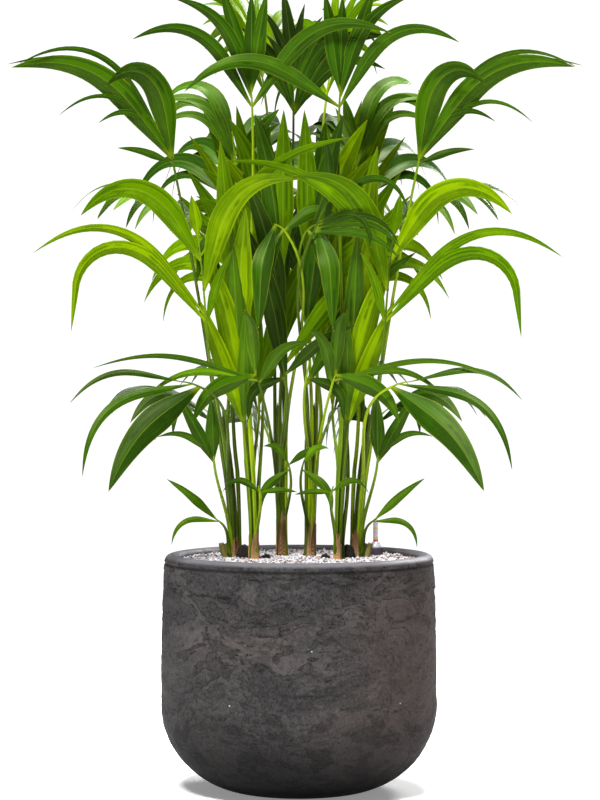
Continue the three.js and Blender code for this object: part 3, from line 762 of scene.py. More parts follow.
FRONDS = (
    Frond("crest", 0, 0.9, (206, -60, 1062), 8, 78, 20, 90, 44, Tone.DARK, (
        Row(LEFT, 1, 0.33, 10, 259, 52, 119, Tone.MID),
        Row(RIGHT, 1, 0.33, 19, 336, 48, 67, Tone.MID),
        Row(RIGHT, 2, (0.74, 0.9), (7, 14), (350, 332), (13, 14), (85, 62)),
        Row(RIGHT, 1, 0.15, 54, 100, 15, 19),
        Row(RIGHT, 2, (0.25, 0.4), (21, 15), (250, 172), (11, 16), (92, 92)),
    )),
    Frond("bright", 0, 0.8, (148, -120, 778), 10, 86, 4, 90, 175, Tone.BRIGHT, (
        Row(RIGHT, 1, 0.71, 27, 277, 46, 104),
        Row(RIGHT, 2, (0.12, 0.18), (38, 36), (383, 363), (28, 20), (160, 85)),
        Row(LEFT, 2, (0.42, 0.75), (20, 41), (300, 332), (46, 22), (80, 46)),
        Row(LEFT, 1, 0.1, 18, 130, 18, 20),
        Row(RIGHT, 1, 0.93, 1, 74, 22, 2),
    )),
    Frond("plume", 1, 0.95, (73, -70, 1144), 0, 88, 4, 90, 80, Tone.DARK, (
        Row(RIGHT, 1, 0.23, 29, 270, 27, 88),
        Row(RIGHT, 2, (0.42, 0.6), (15, 13), (230, 192), (27, 30), (60, 4)),
        Row(LEFT, 1, 0.24, 39, 306, 32, 77),
        Row(LEFT, 2, (0.55, 0.7), (14, 3), (170, 150), (32, 28), (4, 4)),
    )),
    Frond("skirt", 0, 0.5, (156, -150, 690), 15, 24, 26, 90, 40, Tone.DARK, HANGING),
    Frond("low_young", 0, 0.04, (127, -30, 458), 0, 40, 10, 90, 12, Tone.MID, (
        Row(LEFT, 1, 0.75, 10, 114, 18, 10),
        Row(RIGHT, 1, 0.33, 35, 107, 12, 88),
    )),
    Frond("outer_young", 0, 0.2, (138, -60, 561), 0, 84, 8, 90, 22, Tone.DARK, (
        Row(RIGHT, 2, (0.03, 0.68), (23, 41), (137, 108), (25, 14), (3, 56)),
        Row(LEFT, 1, 0.26, 7, 106, 28, 3),
    )),
    Frond("front_young", 2, 0.3, (60, -92, 690), 30, 72, 10, 90, 22, Tone.MID, (
        Row(RIGHT, 1, 1, 92, 148, 36, 54),
        Row(RIGHT, 2, (0.5, 0.6), (48, 51), (216, 294), (15, 11), (54, 34)),
        Row(LEFT, 2, (0.3, 1), (50, 20), (120, 140), (24, 26), (60, 60)),
    )),
    Frond("sprout", 2, 0.12, (10, -40, 548), 20, 78, 10, 90, 20, Tone.MID, (
        Row(RIGHT, 2, (0.1, 0.7), (90, 17), (97, 61), (18, 14), (60, 67)),
        Row(LEFT, 1, 0.48, 68, 70, 14, 40),
    )),
    Frond("tuft", 1, 0.1, (60, -100, 512), 60, 70, 10, 90, 14, Tone.MID, (
        Row(RIGHT, 1, 0.23, 40, 83, 14, 86),
        Row(LEFT, 1, 0.1, 92, 62, 12, 20),
    )),
    Frond("inner", 2, 0.5, (16, -70, 694), 60, 74, 10, 90, 40, Tone.DARK, (
        Row(RIGHT, 1, 0.31, 95, 108, 24, 101),
        Row(LEFT, 1, 0.42, 60, 153, 26, 22),
    )),
    Frond("spear", 1, 0.85, (88, -66, 620), 20, 86, 4, 80, 220, Tone.BRIGHT, (
        Row(RIGHT, 3, (0.04, 0.6), (15, -1), (228, 254), (38, 50), (4, 20)),
        Row(LEFT, 2, (0.03, 0.45), (4, 4), (199, 233), (30, 40), (3, 3), Tone.MID),
        Row(LEFT, 1, 1, 3, 262, 44, 10),
    )),
    Frond("back_spear", 1, 0.6, (64, 60, 660), -40, 87, 4, 70, 260, Tone.BRIGHT, UPRIGHT, between=(9,)),
    Frond("heart", 2, 0.95, (24, 16, 800), 30, 86, 6, 90, 120, Tone.DARK, (
        Row(RIGHT, 3, (0, 1), (26, 6), (250, 250), (46, 48), (40, 20), Tone.BRIGHT),
        Row(LEFT, 2, (0.2, 0.9), (22, 6), (240, 240), (44, 44), (30, 16)),
    ), between=(9,)),
    Frond("core", 2, 0.7, (16, -36, 690), 50, 88, 3, 90, 200, Tone.MID, (
        Row(RIGHT, 3, (0, 1), (16, 5), (300, 270), (40, 44), (24, 14), Tone.DARK),
        Row(LEFT, 2, (0.2, 1), (14, 4), (290, 270), (38, 42), (24, 14), Tone.BRIGHT),
    )),
    Frond("weeping", 2, 0.8, (14, -92, 946), 0, 56, 50, 90, 30, Tone.DARK, (
        Row(RIGHT, 2, (0.9, 0.36), (84, 100), (188, 190), (38, 32), (110, 96)),
        Row(LEFT, 1, 0.3, 102, 150, 26, 90),
    )),
    Frond("cascade", 2, 0.9, (16, -104, 918), 28, 64, 6, 90, 150, Tone.DARK, (
        Row(RIGHT, 1, 0.09, 92, 236, 42, 104),
        Row(RIGHT, 3, (0.24, 0.32), (62, 48), (172, 168), (17, 14), (46, 70)),
        Row(RIGHT, 2, (0.36, 0.6), (23, 30), (215, 190), (17, 15), (110, 96)),
        Row(LEFT, 1, 0.7, 20, 114, 18, 34),
    ), "right"),
    Frond("shoulder", 1, 0.5, (104, 20, 1070), -10, 86, 6, -70, 60, Tone.MID, (
        Row(LEFT, 2, (0.02, 0.04), (16, 1), (224, 297), (30, 34), (94, 158)),
        Row(RIGHT, 1, 0.03, 16, 132, 30, 10),
    ), between=(10,)),
    Frond("summit", 2, 0.6, (54, 96, 1200), -40, 80, 10, 150, 60, Tone.BRIGHT,
          both(3, (0, 1), (40, 12), (260, 220), 30, (100, 60)), between=(9, -8)),
    Frond("flank", 0, 0.62, (126, 60, 880), -14, 70, 44, 170, 130, Tone.MID,
          both(3, (0, 1), (58, 20), (290, 230), (42, 40), (96, 84)), between=(10,)),
    Frond("low_flank", 0, 0.3, (136, 96, 620), -40, 50, 40, 150, 60, Tone.DARK,
          both(2, (0, 1), (62, 16), (230, 220), (36, 38), (84, 76)), between=(12,)),
    Frond("back_crest", 0, 0.7, (96, 180, 1000), -80, 74, 30, -90, 120, Tone.DARK, ARCHING, between=(10,)),
    Frond("back_bright", 1, 0.45, (70, 170, 800), -85, 80, 16, -90, 150, Tone.BRIGHT, ARCHING, between=(10,)),
    Frond("back_skirt", 2, 0.45, (66, 170, 640), -75, 24, 26, -90, 40, Tone.DARK, HANGING, between=(12,)),
    Frond("crown", 2, 1, (4, 6, 1150), 90, 84, 10, 90, 60, Tone.DARK, (
        Row(RIGHT, 2, (0.21, 0.9), (21, 10), (183, 190), (30, 28), (42, 30)),
        Row(LEFT, 2, (0.11, 0.8), (17, 24), (238, 180), (42, 28), (71, 30)),
    ), "left", (11, -9)),
)


@dataclass(frozen=True)
class Stem:
    """One stem of a mirrored pair: its place, its height, its radii, and where its tip leans to."""

    out: float
    y: float
    height: float
    foot_radius: float
    tip_radius: float
    lean: tuple[float, float]
    flare: float = 1.18

    def point(self, t: float) -> Vector:
        """The stem's middle at a share of its height."""
        bow = t * t
        x, y = self.out + self.lean[0] * bow, self.y + self.lean[1] * bow
        return Vector((x, y, GRAVEL_TOP + GAP + self.height * t))

    def radius(self, t: float) -> float:
        """The stem's radius at a share of its height."""
        return mix(self.foot_radius, self.tip_radius, t) * (1 + (self.flare - 1) * max(0.0, 1 - t * 8))


STEMS = (
    Stem(104, 8, 214, 12.5, 8, (16, -4)),
    Stem(70, -44, 196, 11.5, 7.5, (8, -8)),
    Stem(25, 36, 220, 12, 8, (5, 10)),
)


@dataclass(frozen=True)
class Section:
    """A leaflet at one place of its length."""

    at: Vector
    wide: Vector
    under: Vector
    half: float


@dataclass(frozen=True)
class Growth:
    """The rule by which petioles, rachises and leaflets grow, the same as the frame's."""

    petiole_radius: float = 4.4
    petiole_steps: int = 6
    petiole_rise: float = 0.35
    petiole_pull: float = 0.3
    bows: tuple[float, ...] = (0, 10, -10, 20, -20, 34, -34)
    turns: tuple[float, ...] = (0, 22, -22, 44, -44, 70, -70)
    rachis_radius: float = 1.8
    rachis_steps: int = 3
    face_up: float = 0.5
    first_seed: int = 11
    fine_steps: int = 24
    tip_half: float = 0.35
    steepest: float = 84
    lift: float = 8
    straight: float = 0.22
    wobble: float = 5
    uneven: float = 0.06
    twist: float = 30
    swings: tuple[float, ...] = (0, 7, -7, 14, -14, 22, -22)
    shorter: tuple[float, ...] = (1, 0.8, 0.62)

    def radius(self, t: float) -> float:
        """A stalk's radius at a share of its length, from the petiole's foot to the rachis's tip."""
        return mix(self.petiole_radius, self.rachis_radius, t)

    def petiole(self, frond: Frond, bow: float, turn: float, steps: int) -> tuple[list[Vector], Vector]:
        """The petiole's line, from beside its stem to the blade's foot.

        Args:
            frond: The frond.
            bow: How far it bows sideways.
            turn: How far round the stem it starts, in degrees.
            steps: The steps that the line has.

        Returns:
            The line's points, and the level direction in which it leaves the stem.
        """
        stem = STEMS[frond.stem]
        tip = Vector(frond.foot)
        middle = stem.point(frond.rise)
        heading = math.atan2(tip.y - middle.y, tip.x - middle.x) + math.radians(turn)
        away = Vector((math.cos(heading), math.sin(heading), 0))
        start = middle + away * (stem.radius(frond.rise) * 1.06 + self.petiole_radius + GAP)
        span = (tip - start).length
        sideways = Vector((-math.sin(heading), math.cos(heading), 0)) * bow
        up = (stem.point(1) - stem.point(0.8)).normalized()
        first = start + up * (span * self.petiole_rise) + sideways
        second = tip - aimed(frond.heading, frond.climb) * (span * self.petiole_pull) + sideways
        return [curve(start, first, second, tip, k / steps) for k in range(steps + 1)], away

    def rachis(self, frond: Frond) -> list[RachisFrame]:
        """The rachis at each step: its place, its direction and the way its upper face looks."""
        face = (level(frond.face) + UP * self.face_up).normalized()
        at = Vector(frond.foot)
        frames = []
        for k in range(self.rachis_steps + 1):
            along = aimed(frond.heading, frond.climb - frond.arch * k / self.rachis_steps)
            frames.append((at, along, square_to(face, along)))
            at = at + along * (frond.rachis / self.rachis_steps)
        return frames

    def frame_at(self, frames: Sequence[RachisFrame], t: float) -> RachisFrame:
        """The rachis at a share of its length, between the steps on both sides of it."""
        f = min(0.9999, max(0.0, t)) * self.rachis_steps
        k = int(f)
        at, along, upper = (a.lerp(b, f - k) for a, b in zip(frames[k], frames[k + 1]))
        along = along.normalized()
        return at, along, square_to(upper, along)

    def outline(self, s: float) -> float:
        """The share of a leaflet's full width at a share of its length."""
        return smooth(s, -0.12, 0.45) * (1 - s**2.6) ** 0.9

    def leaves(self, frond: Frond, seed: int) -> list[Leaf]:
        """The leaflets that a frond is meant to have, row by row."""
        draw = seeded(seed)
        made = []
        for row in frond.rows:
            for i in range(row.count):
                t = i / (row.count - 1) if row.count > 1 else 0.0
                spread = within(row.spread, t) + (next(draw) - 0.5) * self.wobble
                length = within(row.length, t) * (1 + (next(draw) - 0.5) * self.uneven)
                droop = within(row.droop, t) + (next(draw) - 0.5) * self.wobble
                twist = (next(draw) - 0.5) * self.twist
                at, width = within(row.at, t), within(row.width, t)
                made.append(Leaf(row.hand, at, spread, length, width, droop, twist, row.tone))
        return made

    def sections(
        self, frames: Sequence[RachisFrame], leaf: Leaf, swing: float, share: float
    ) -> list[Section]:
        """A leaflet from its root on the rachis to its tip, bent down under its weight.

        Args:
            frames: The rachis.
            leaf: The leaflet.
            swing: How far it swings aside, in degrees.
            share: The share of its length that it keeps.

        Returns:
            Its sections, one for each fine step.
        """
        root, along_rachis, upper = self.frame_at(frames, leaf.at)
        across = along_rachis.cross(upper) * leaf.hand
        spread, lift = math.radians(leaf.spread + swing), math.radians(self.lift)
        flat = along_rachis * math.cos(spread) + across * math.sin(spread)
        start = flat * math.cos(lift) + upper * math.sin(lift)
        side = start.cross(square_to(upper, start))
        heading = Vector((start.x, start.y, 0)).normalized()
        hinge = heading.cross(UP)
        climb = math.asin(start.z)
        steepest = climb + math.radians(self.steepest)
        step = leaf.length * share / self.fine_steps
        at = root
        made = []
        for k in range(self.fine_steps + 1):
            s = k / self.fine_steps
            bend = min(math.radians(leaf.droop) * smooth(s, self.straight, 1), steepest)
            along = heading * math.cos(climb - bend) + UP * math.sin(climb - bend)
            wide = Quaternion(along, math.radians(leaf.twist) * s) @ (Quaternion(hinge, -bend) @ side)
            half = max(self.tip_half, leaf.width / 2 * self.outline(s))
            made.append(Section(at, wide, along.cross(wide), half))
            at = at + along * step
        return made


@dataclass
class Route:
    """A frond where it stands in the frame, on its side of the clump."""

    frond: Frond
    word: str
    side: int
    seed: int
    growth: Growth
    probes: tuple[int, ...] = (13, 19, 24)
    near: float = 0.3
    narrow_at: float = 0.09
    narrow_length: float = 0.84
    narrow_width: float = 0.62
    narrow_droop: float = 1.1
    solid: BVHTree = field(init=False)
    bow: float = field(init=False)
    turn: float = field(init=False)

    def __post_init__(self) -> None:
        """Reads the frame's solid, and finds the route that its petiole took."""
        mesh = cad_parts[self.node].data
        points = [v.co.copy() for v in mesh.vertices]
        self.solid = BVHTree.FromPolygons(points, [tuple(p.vertices) for p in mesh.polygons])
        routes = [(bow, turn) for bow in self.growth.bows for turn in self.growth.turns]
        self.bow, self.turn = min(routes, key=lambda route: self._miss(*route))

    @property
    def node(self) -> str:
        """The frame's node."""
        return f"frond_{self.word}_{self.frond.name}"

    def off(self, point: Vector) -> float:
        """How far a point of the outward side is from the frame's solid, in millimetres."""
        there = Vector((CLUMP_X + self.side * point.x, point.y, point.z)) * MM
        return self.solid.find_nearest(there)[3] / MM

    def _miss(self, bow: float, turn: float) -> float:
        """How badly a petiole's line misses the middle of the frame's limb."""
        growth = self.growth
        line, _ = growth.petiole(self.frond, bow, turn, growth.petiole_steps)
        steps = growth.petiole_steps + growth.rachis_steps
        return sum(abs(self.off(line[k]) - growth.radius(k / steps) / 2) for k in range(1, 5))

    def blades(self, leaves: Sequence[Leaf]) -> list[tuple[Leaf, list[Section]]]:
        """The leaflets that grew, each as the frame's solid has it, and the narrow ones between them."""
        frames = self.growth.rachis(self.frond)
        grown = []
        for leaf in leaves:
            found = self._grown(frames, leaf)
            if not found:
                continue
            narrow = replace(
                leaf,
                at=min(1.0, leaf.at + self.narrow_at),
                length=leaf.length * self.narrow_length,
                width=leaf.width * self.narrow_width,
                droop=leaf.droop * self.narrow_droop,
                twist=-leaf.twist,
            )
            beside = [replace(narrow, spread=leaf.spread + step) for step in self.frond.between]
            grown += [(blade, self.growth.sections(frames, blade, *found)) for blade in (leaf, *beside)]
        return grown

    def _grown(self, frames: Sequence[RachisFrame], leaf: Leaf) -> tuple[float, float] | None:
        """The leaflet's swing and share of length that the frame's solid shows, or nothing."""
        for share in self.growth.shorter:
            for swing in self.growth.swings:
                sections = self.growth.sections(frames, leaf, swing, share)
                if all(self.off(sections[k].at) < self.near for k in self.probes):
                    return swing, share
        return None


@dataclass(frozen=True)
class Blade:
    """How a leaflet is shaped: a thin shell, folded down a little on both sides of its rib.

    Leaflets whose half width is under `plain` have no pleats, and the pleats reach their full depth `rising`
    over it.
    """

    across: tuple[float, ...] = (-1, -0.82, -0.62, -0.42, -0.22, 0, 0.22, 0.42, 0.62, 0.82, 1)
    fold: float = 0.36
    pleat: float = 0.3
    plain: float = 11
    rising: float = 14
    wave: float = 0.9
    wave_half: float = 12
    thickness: float = 0.9
    thinning: float = 0.6
    full_turn: float = 6.28  # in radians, near enough

    def add(
        self, sheaf: Sheaf, leaf: Sequence[Section], side: int, slots: tuple[int, int], draw: random.Random
    ) -> None:
        """Adds a leaflet to a sheaf.

        Args:
            sheaf: Where it goes.
            leaf: The leaflet's sections.
            side: Its side of the clump.
            slots: The finishes of its upper and its under surface.
            draw: The source of its small unevenness.
        """
        u = np.array(self.across)
        inner = u[1:-1][::-1]
        ways = np.array([(s.at, s.wide, s.under) for s in leaf])
        at, wide, under = (ways[:, i, None] for i in range(3))
        half = np.array([s.half for s in leaf])[:, None]
        t = np.linspace(0, 1, len(leaf))[:, None]
        phase, pace = draw.uniform(0, self.full_turn), draw.uniform(2.0, 3.4)
        sag = half * self.fold * (1.15 - t) * (np.abs(u) - 0.45)
        ridges = np.clip((half - self.plain) / self.rising, 0, 1) * (np.abs(u) < 1)
        sag = sag + np.where(np.arange(len(u)) % 2, self.pleat, -self.pleat) * ridges
        ripple = np.sin(t * self.full_turn * pace + phase + np.sign(u) * 1.1)
        sag = sag + self.wave * ripple * u**2 * np.minimum(1, half / self.wave_half)
        thick = self.thickness * (1 - self.thinning * np.abs(inner)) * (1 - self.thinning * t)
        low = sag[:, 1:-1][:, ::-1] + thick
        top = at + wide * (half * u)[..., None] + under * sag[..., None]
        bottom = at + wide * (half * inner)[..., None] + under * low[..., None]
        places = (u + 1) / 2
        across = np.concatenate([places, places[::-1][1:]])
        rings = np.concatenate([top, bottom], axis=1)
        sheaf.loft(rings, np.repeat(slots, len(u) - 1), across, t[:, 0], side=side)


# Each tone's shades a, b, c and under: the deep and the fresh colour, and which half of the leaflet is in
# painted shade (1 or -1), or none (0).
SHADES = {
    Tone.BRIGHT: (
        ((32, 61, 0), (112, 139, 0), 1),
        ((26, 55, 0), (92, 124, 0), -1),
        ((20, 48, 0), (82, 116, 0), 0),
        ((34, 66, 0), (106, 138, 0), 0),
    ),
    Tone.MID: (
        ((15, 39, 0), (66, 102, 0), -1),
        ((11, 33, 0), (53, 88, 0), 1),
        ((24, 56, 0), (92, 130, 2), 0),
        ((14, 42, 0), (60, 96, 6), 0),
    ),
    Tone.DARK: (
        ((5, 24, 0), (39, 75, 0), 1),
        ((7, 31, 0), (50, 86, 0), -1),
        ((4, 18, 0), (31, 61, 0), 0),
        ((5, 26, 0), (38, 74, 4), 0),
    ),
}


@dataclass
class Crown:
    """All fronds of the clump: leaflets joined by tone, and their stalks."""

    growth: Growth = field(default_factory=Growth)
    blade: Blade = field(default_factory=Blade)
    sheath_width: float = 0.27
    sheath_depth: float = 0.25
    sheath_steps: float = 12
    stalk_sides: int = 12
    petiole_steps: int = 22
    rachis_steps: int = 8
    slimmer: float = 0.8

    def finishes(self, tone: Tone) -> list[LeafFinish]:
        """Three shades of a tone's upper surface, and its under surface."""
        bright = tone is Tone.BRIGHT
        gloss = 0.1 if bright else 0.28
        rough = (0.44, 0.44, 0.44, 0.46 if bright else 0.42)
        return [
            LeafFinish(f"leaf_{tone.value}_{kind}", paint(*deep), paint(*fresh), half, roughness, gloss)
            for kind, roughness, (deep, fresh, half) in zip(("a", "b", "c", "under"), rough, SHADES[tone])
        ]

    def stalk(self, sheaf: Sheaf, route: Route) -> None:
        """Adds a frond's sheath, petiole and rachis as one limb that grows slimmer."""
        frond, growth = route.frond, self.growth
        stem = STEMS[frond.stem]
        line, away = growth.petiole(frond, route.bow, route.turn, self.petiole_steps)
        start_off = (line[0] - stem.point(frond.rise)).length
        steps = max(3, round(frond.rise * self.sheath_steps))
        low, sizes = [], []
        for k in range(steps):
            t = k / steps
            share = t * frond.rise
            radius = stem.radius(share)
            low.append(stem.point(share) + away * mix(radius * 0.8, start_off, t**1.2))
            width = mix(radius * self.sheath_width, growth.petiole_radius * 1.05, t**1.4)
            sizes.append((width, mix(radius * self.sheath_depth, growth.petiole_radius * 0.9, t**1.4)))
        count = growth.petiole_steps + growth.rachis_steps
        for k in range(len(line)):
            t = k / self.petiole_steps
            radius = growth.radius(t * growth.petiole_steps / count) * self.slimmer
            swell = 1 + 0.25 * (1 - smooth(t, 0, 0.2))
            sizes.append((radius * swell, radius * 0.9))
        frames = growth.rachis(frond)
        for k in range(1, self.rachis_steps + 1):
            t = k / self.rachis_steps
            line.append(growth.frame_at(frames, t)[0])
            radius = growth.radius((growth.petiole_steps + growth.rachis_steps * t) / count) * self.slimmer
            sizes.append((radius * mix(1, 0.7, t), radius * mix(0.9, 0.6, t)))
        rings = tube(low + line, sizes, away, self.stalk_sides)
        sheaf.loft(rings, route.seed % 3, side=route.side)

    def build(self) -> None:
        """Builds the leaflets of each tone, and all stalks."""
        stalks = Sheaf()
        sheaves = {tone: Sheaf() for tone in Tone}
        nodes: dict[Tone, list[str]] = {tone: [] for tone in Tone}
        seed = self.growth.first_seed
        under = len(SHADES[Tone.MID]) - 1
        grown = meant = 0
        for frond in FRONDS:
            for word, side in SIDES:
                if frond.only not in ("", word):
                    continue
                route = Route(frond, word, side, seed, self.growth)
                draw = random.Random(seed)
                nodes[frond.tone].append(route.node)
                self.stalk(stalks, route)
                leaves = self.growth.leaves(frond, seed)
                blades = route.blades(leaves)
                for leaf, sections in blades:
                    shade = draw.choice((0, 0, 1, 1, 2))
                    self.blade.add(sheaves[leaf.tone or frond.tone], sections, side, (shade, under), draw)
                grown += len(blades)
                meant += len(leaves) * (1 + len(frond.between))
                seed += 1
        LOG.info("leaflets: %d grown of %d", grown, meant)
        for tone, sheaf in sheaves.items():
            piece = sheaf.make(f"leaflets_{tone.value}", *self.finishes(tone))
            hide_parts(*nodes[tone])
        piece = stalks.make(
            "stalks",
            StalkFinish("stalk_fresh", paint(52, 92, 0), paint(160, 178, 6)),
            StalkFinish("stalk_green", paint(30, 64, 0), paint(118, 144, 6)),
            StalkFinish("stalk_deep", paint(16, 40, 0), paint(84, 108, 4)),
        )


@dataclass
class Stems:
    """The clump's stems with their rolled new leaves, fibre wraps, cut stubs and root crowns.

    Each wrap follows the stalks that it once held: `ahead` and `behind` are how far those in front and
    those behind lean away at `lean_height`.
    """

    sides: int = 36
    rings: int = 34
    bud: float = 46
    bud_rings: int = 8
    slim: float = 0.5
    nodes: float = 5.5
    wraps: int = 2
    wrap_off: float = 8.5
    wrap_radius: float = 7.8
    wrap_wall: float = 0.9
    wrap_columns: int = 44
    wrap_rows: int = 12
    wrap_spans: tuple[float, float] = (118, 140)
    high_wraps: tuple[float, float] = (78, 96)
    low_wraps: tuple[float, float] = (34, 66)
    inner_stem: float = 40
    lean_height: float = 80
    ahead: tuple[float, ...] = (30, 16, 48)
    behind: float = 6
    stubs: tuple[tuple[float, ...], ...] = ((120, -2, 30, 8, -3), (112, 30, 26, 8, 8))
    stub_sunk: float = 4
    stub_sizes: tuple[tuple[float, float, float], ...] = (
        (0, 8.5, 6.5), (0.2, 7.6, 5.8), (0.45, 6.8, 5.2), (0.7, 6.4, 4.8), (0.9, 6.3, 4.7), (1, 6.1, 4.5),
    )
    stub_end: tuple[float, float] = (4.6, 3.2)
    roots: tuple[tuple[tuple[float, float, float], tuple[float, float, float]], ...] = (
        ((88, -20, 400), (13, 12, 20)),
        ((50, -22, 396), (9, 9, 9)),
    )
    root_rings: int = 18
    root_sides: int = 28

    def core(self, sheaf: Sheaf, stem: Stem, side: int) -> None:
        """Adds a stem's ribbed core, which ends in a rolled new leaf."""
        turns = round_turns(self.sides)
        rings = []
        for k in range(self.rings + 1):
            t = k / self.rings
            ridge = 1 + 0.045 * np.cos(turns * 5 + t * 2) + 0.03 * np.cos(turns * 12 - t * 3)
            node = 1 + 0.05 * math.exp(-(((t * self.nodes) % 1 - 0.5) * 9) ** 2)
            rings.append(level_ring(stem.point(t), stem.radius(t) * self.slim * ridge * node, turns))
        tip = stem.point(1)
        lean = (tip - stem.point(0.9)).normalized()
        for k in range(1, self.bud_rings + 1):
            t = k / self.bud_rings
            radius = stem.tip_radius * self.slim * (1 - t) ** 0.75 * (1 + 0.1 * np.cos(turns + t * 5)) + 0.4
            rings.append(level_ring(tip + lean * (self.bud * t), radius, turns))
        sheaf.loft(np.array(rings), side=side)

    def wrap(
        self, sheaf: Sheaf, stem: Stem, side: int, middle: float, ahead: float, draw: random.Random
    ) -> None:
        """Adds a papery remain of an old sheath, with a ragged top.

        Args:
            sheaf: Where it goes.
            stem: The stem that it wraps.
            side: The stem's side.
            middle: The direction that its middle looks, in degrees.
            ahead: How far it leans away from the stem.
            draw: The source of its height and its raggedness.
        """
        columns, rows = self.wrap_columns, self.wrap_rows
        top = draw.uniform(*(self.high_wraps if stem.out < self.inner_stem else self.low_wraps))
        span = draw.uniform(*self.wrap_spans)
        facing = level(-middle)
        heights = [top * draw.uniform(0.72, 1.0) for _ in range(columns)]
        for _ in range(draw.randint(2, 4)):
            cut = draw.randrange(4, columns - 4)
            for i in range(-3, 4):
                heights[cut + i] *= mix(0.55, 1, min(1, abs(i) / 3))
        rings = []
        for c, height in enumerate(heights):
            share = c / (columns - 1)
            turn = math.radians(middle + (share - 0.5) * span)
            tuck = 1 - abs(share * 2 - 1) ** 3
            outer, inner = [], []
            for r in range(rows + 1):
                t = r / rows
                z = height * mix(0.35, 1, tuck) * t
                off = self.wrap_off + ahead * (z / self.lean_height) ** 1.2
                at = stem.point(z / stem.height) + facing * off
                bulge = 0.5 * math.sin(share * 9 + t * 4) + 1.2 * t * draw.uniform(0.6, 1.2) * tuck
                radius = self.wrap_radius + bulge * mix(0.7, 1, tuck)
                for far, line in ((radius, outer), (radius - self.wrap_wall, inner)):
                    line.append((at.x + far * math.cos(turn), at.y + far * math.sin(turn), at.z + 0.2))
            rings.append(outer + inner[::-1])
        up = np.linspace(0, 1, rows + 1)
        sheaf.loft(np.array(rings), 0, [*up, *up[::-1], 0.0], flip=True, side=side)

    def stub(self, sheaf: Sheaf, side: int, out: float, y: float, height: float, *lean: float) -> None:
        """Adds a short cut sheath with a dry end."""
        foot = Vector((out, y, GRAVEL_TOP - self.stub_sunk))
        top = foot + Vector((*lean, height))
        line = [foot.lerp(top, t) for t, _, _ in self.stub_sizes]
        sizes = [size[1:] for size in self.stub_sizes]
        rings = tube([*line, line[-1] + UP * 0.4], [*sizes, self.stub_end], Vector((1, 0, 0)), 20)
        sheaf.loft(rings, 0, side=side, cap_slot=1)

    def root(self, sheaf: Sheaf, side: int, middle: Sequence[float], size: Sequence[float]) -> None:
        """Adds a knobbly dark root crown that stands half in the granulate."""
        rings = []
        for k in range(self.root_rings + 1):
            climb = math.pi * (k / self.root_rings - 0.5)
            out = math.cos(climb)
            ring = []
            for turn in round_turns(self.root_sides):
                p = Vector((out * math.cos(turn), out * math.sin(turn), math.sin(climb)))
                lump = noise.fractal(p * 1.7 + Vector(middle) * 0.1, 0.8, 2.1, 4)
                r = 1 + 0.22 * lump + 0.04 * math.sin(turn * 9 + k) * out
                ring.append([m + s * q * r for m, s, q in zip(middle, size, p)])
            rings.append(ring)
        sheaf.loft(np.array(rings), side=side)

    def build(self) -> None:
        """Builds the stems and what stands at their feet."""
        draw = random.Random(7)
        cores, fibres, stubs, roots = Sheaf(), Sheaf(), Sheaf(), Sheaf()
        for stem, ahead in zip(STEMS, self.ahead):
            for _, side in SIDES:
                self.core(cores, stem, side)
                for i in range(self.wraps):
                    middle = -90 + i * 165 + draw.uniform(-8, 8)
                    self.wrap(fibres, stem, side, middle, self.behind if i else ahead, draw)
        for _, side in SIDES:
            for stub in self.stubs:
                self.stub(stubs, side, *stub)
            for root in self.roots:
                self.root(roots, side, *root)
        piece = cores.make("stems", StalkFinish("stem_skin", paint(20, 38, 2), paint(70, 80, 12), 0.55))
        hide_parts(*(f"stem_{word}_{i + 1}" for i in range(len(STEMS)) for word, _ in SIDES))
        paper = FibreFinish("sheath_paper", paint(58, 32, 16), paint(232, 180, 124), paint(168, 120, 78))
        fibres.make("sheath_fibres", paper)
        skin = StalkFinish("stub_skin", paint(92, 88, 46), paint(132, 118, 70), 0.55)
        cut = GrainFinish("cut_end", paint(146, 122, 82), paint(96, 74, 48), 420.0)
        stubs.make("cut_stubs", skin, cut)
        bark = FibreFinish("root_bark", paint(8, 6, 4), paint(26, 18, 12), paint(18, 12, 8))
        roots.make("root_crowns", bark)


def ragged() -> np.ndarray:
    """Places round the planter, in degrees, and two runs of small rough steps, in millimetres."""
    turns = np.linspace(-180, 180, 1441)

    def run(seed: float, pace: float, layer: float, height: float) -> np.ndarray:
        """Smooth noise round the planter."""
        return np.array([noise.noise(Vector((turn * pace, seed, layer))) * height for turn in turns])

    return np.array([turns, *(run(seed, 0.16, 0, 4.5) + run(seed, 0.7, 4, 2.2) for seed in (0.0, 7.3))])


RAGGED = ragged()


@dataclass(frozen=True)
class Ledge:
    """A course across the planter's side, as (degrees round, height), under which the stone steps back."""

    depth: float
    reach: float
    course: Pairs
    lip_reach: float = 5
    taper: float = 5

    def relief(self, azimuth: np.ndarray, z: np.ndarray, turn: float) -> np.ndarray:
        """The step at each point of the side, with the course turned round the planter."""
        degrees, heights = np.array(self.course).T
        here = (azimuth - turn + 180) % 360 - 180
        rough = np.interp(here, RAGGED[0], RAGGED[1] + RAGGED[2] * turn / 360)
        over = z - np.interp(here, degrees, heights) - rough
        start, end = (here - degrees[0]) / self.taper, (degrees[-1] - here) / self.taper
        under = -self.depth * np.exp(-np.maximum(0, -over) / self.reach) * (over < 0)
        lip = 0.35 * self.depth * np.exp(-np.maximum(0, over) / self.lip_reach) * (over >= 0)
        return (under + lip) * (np.clip(start, 0, 1) * np.clip(end, 0, 1))


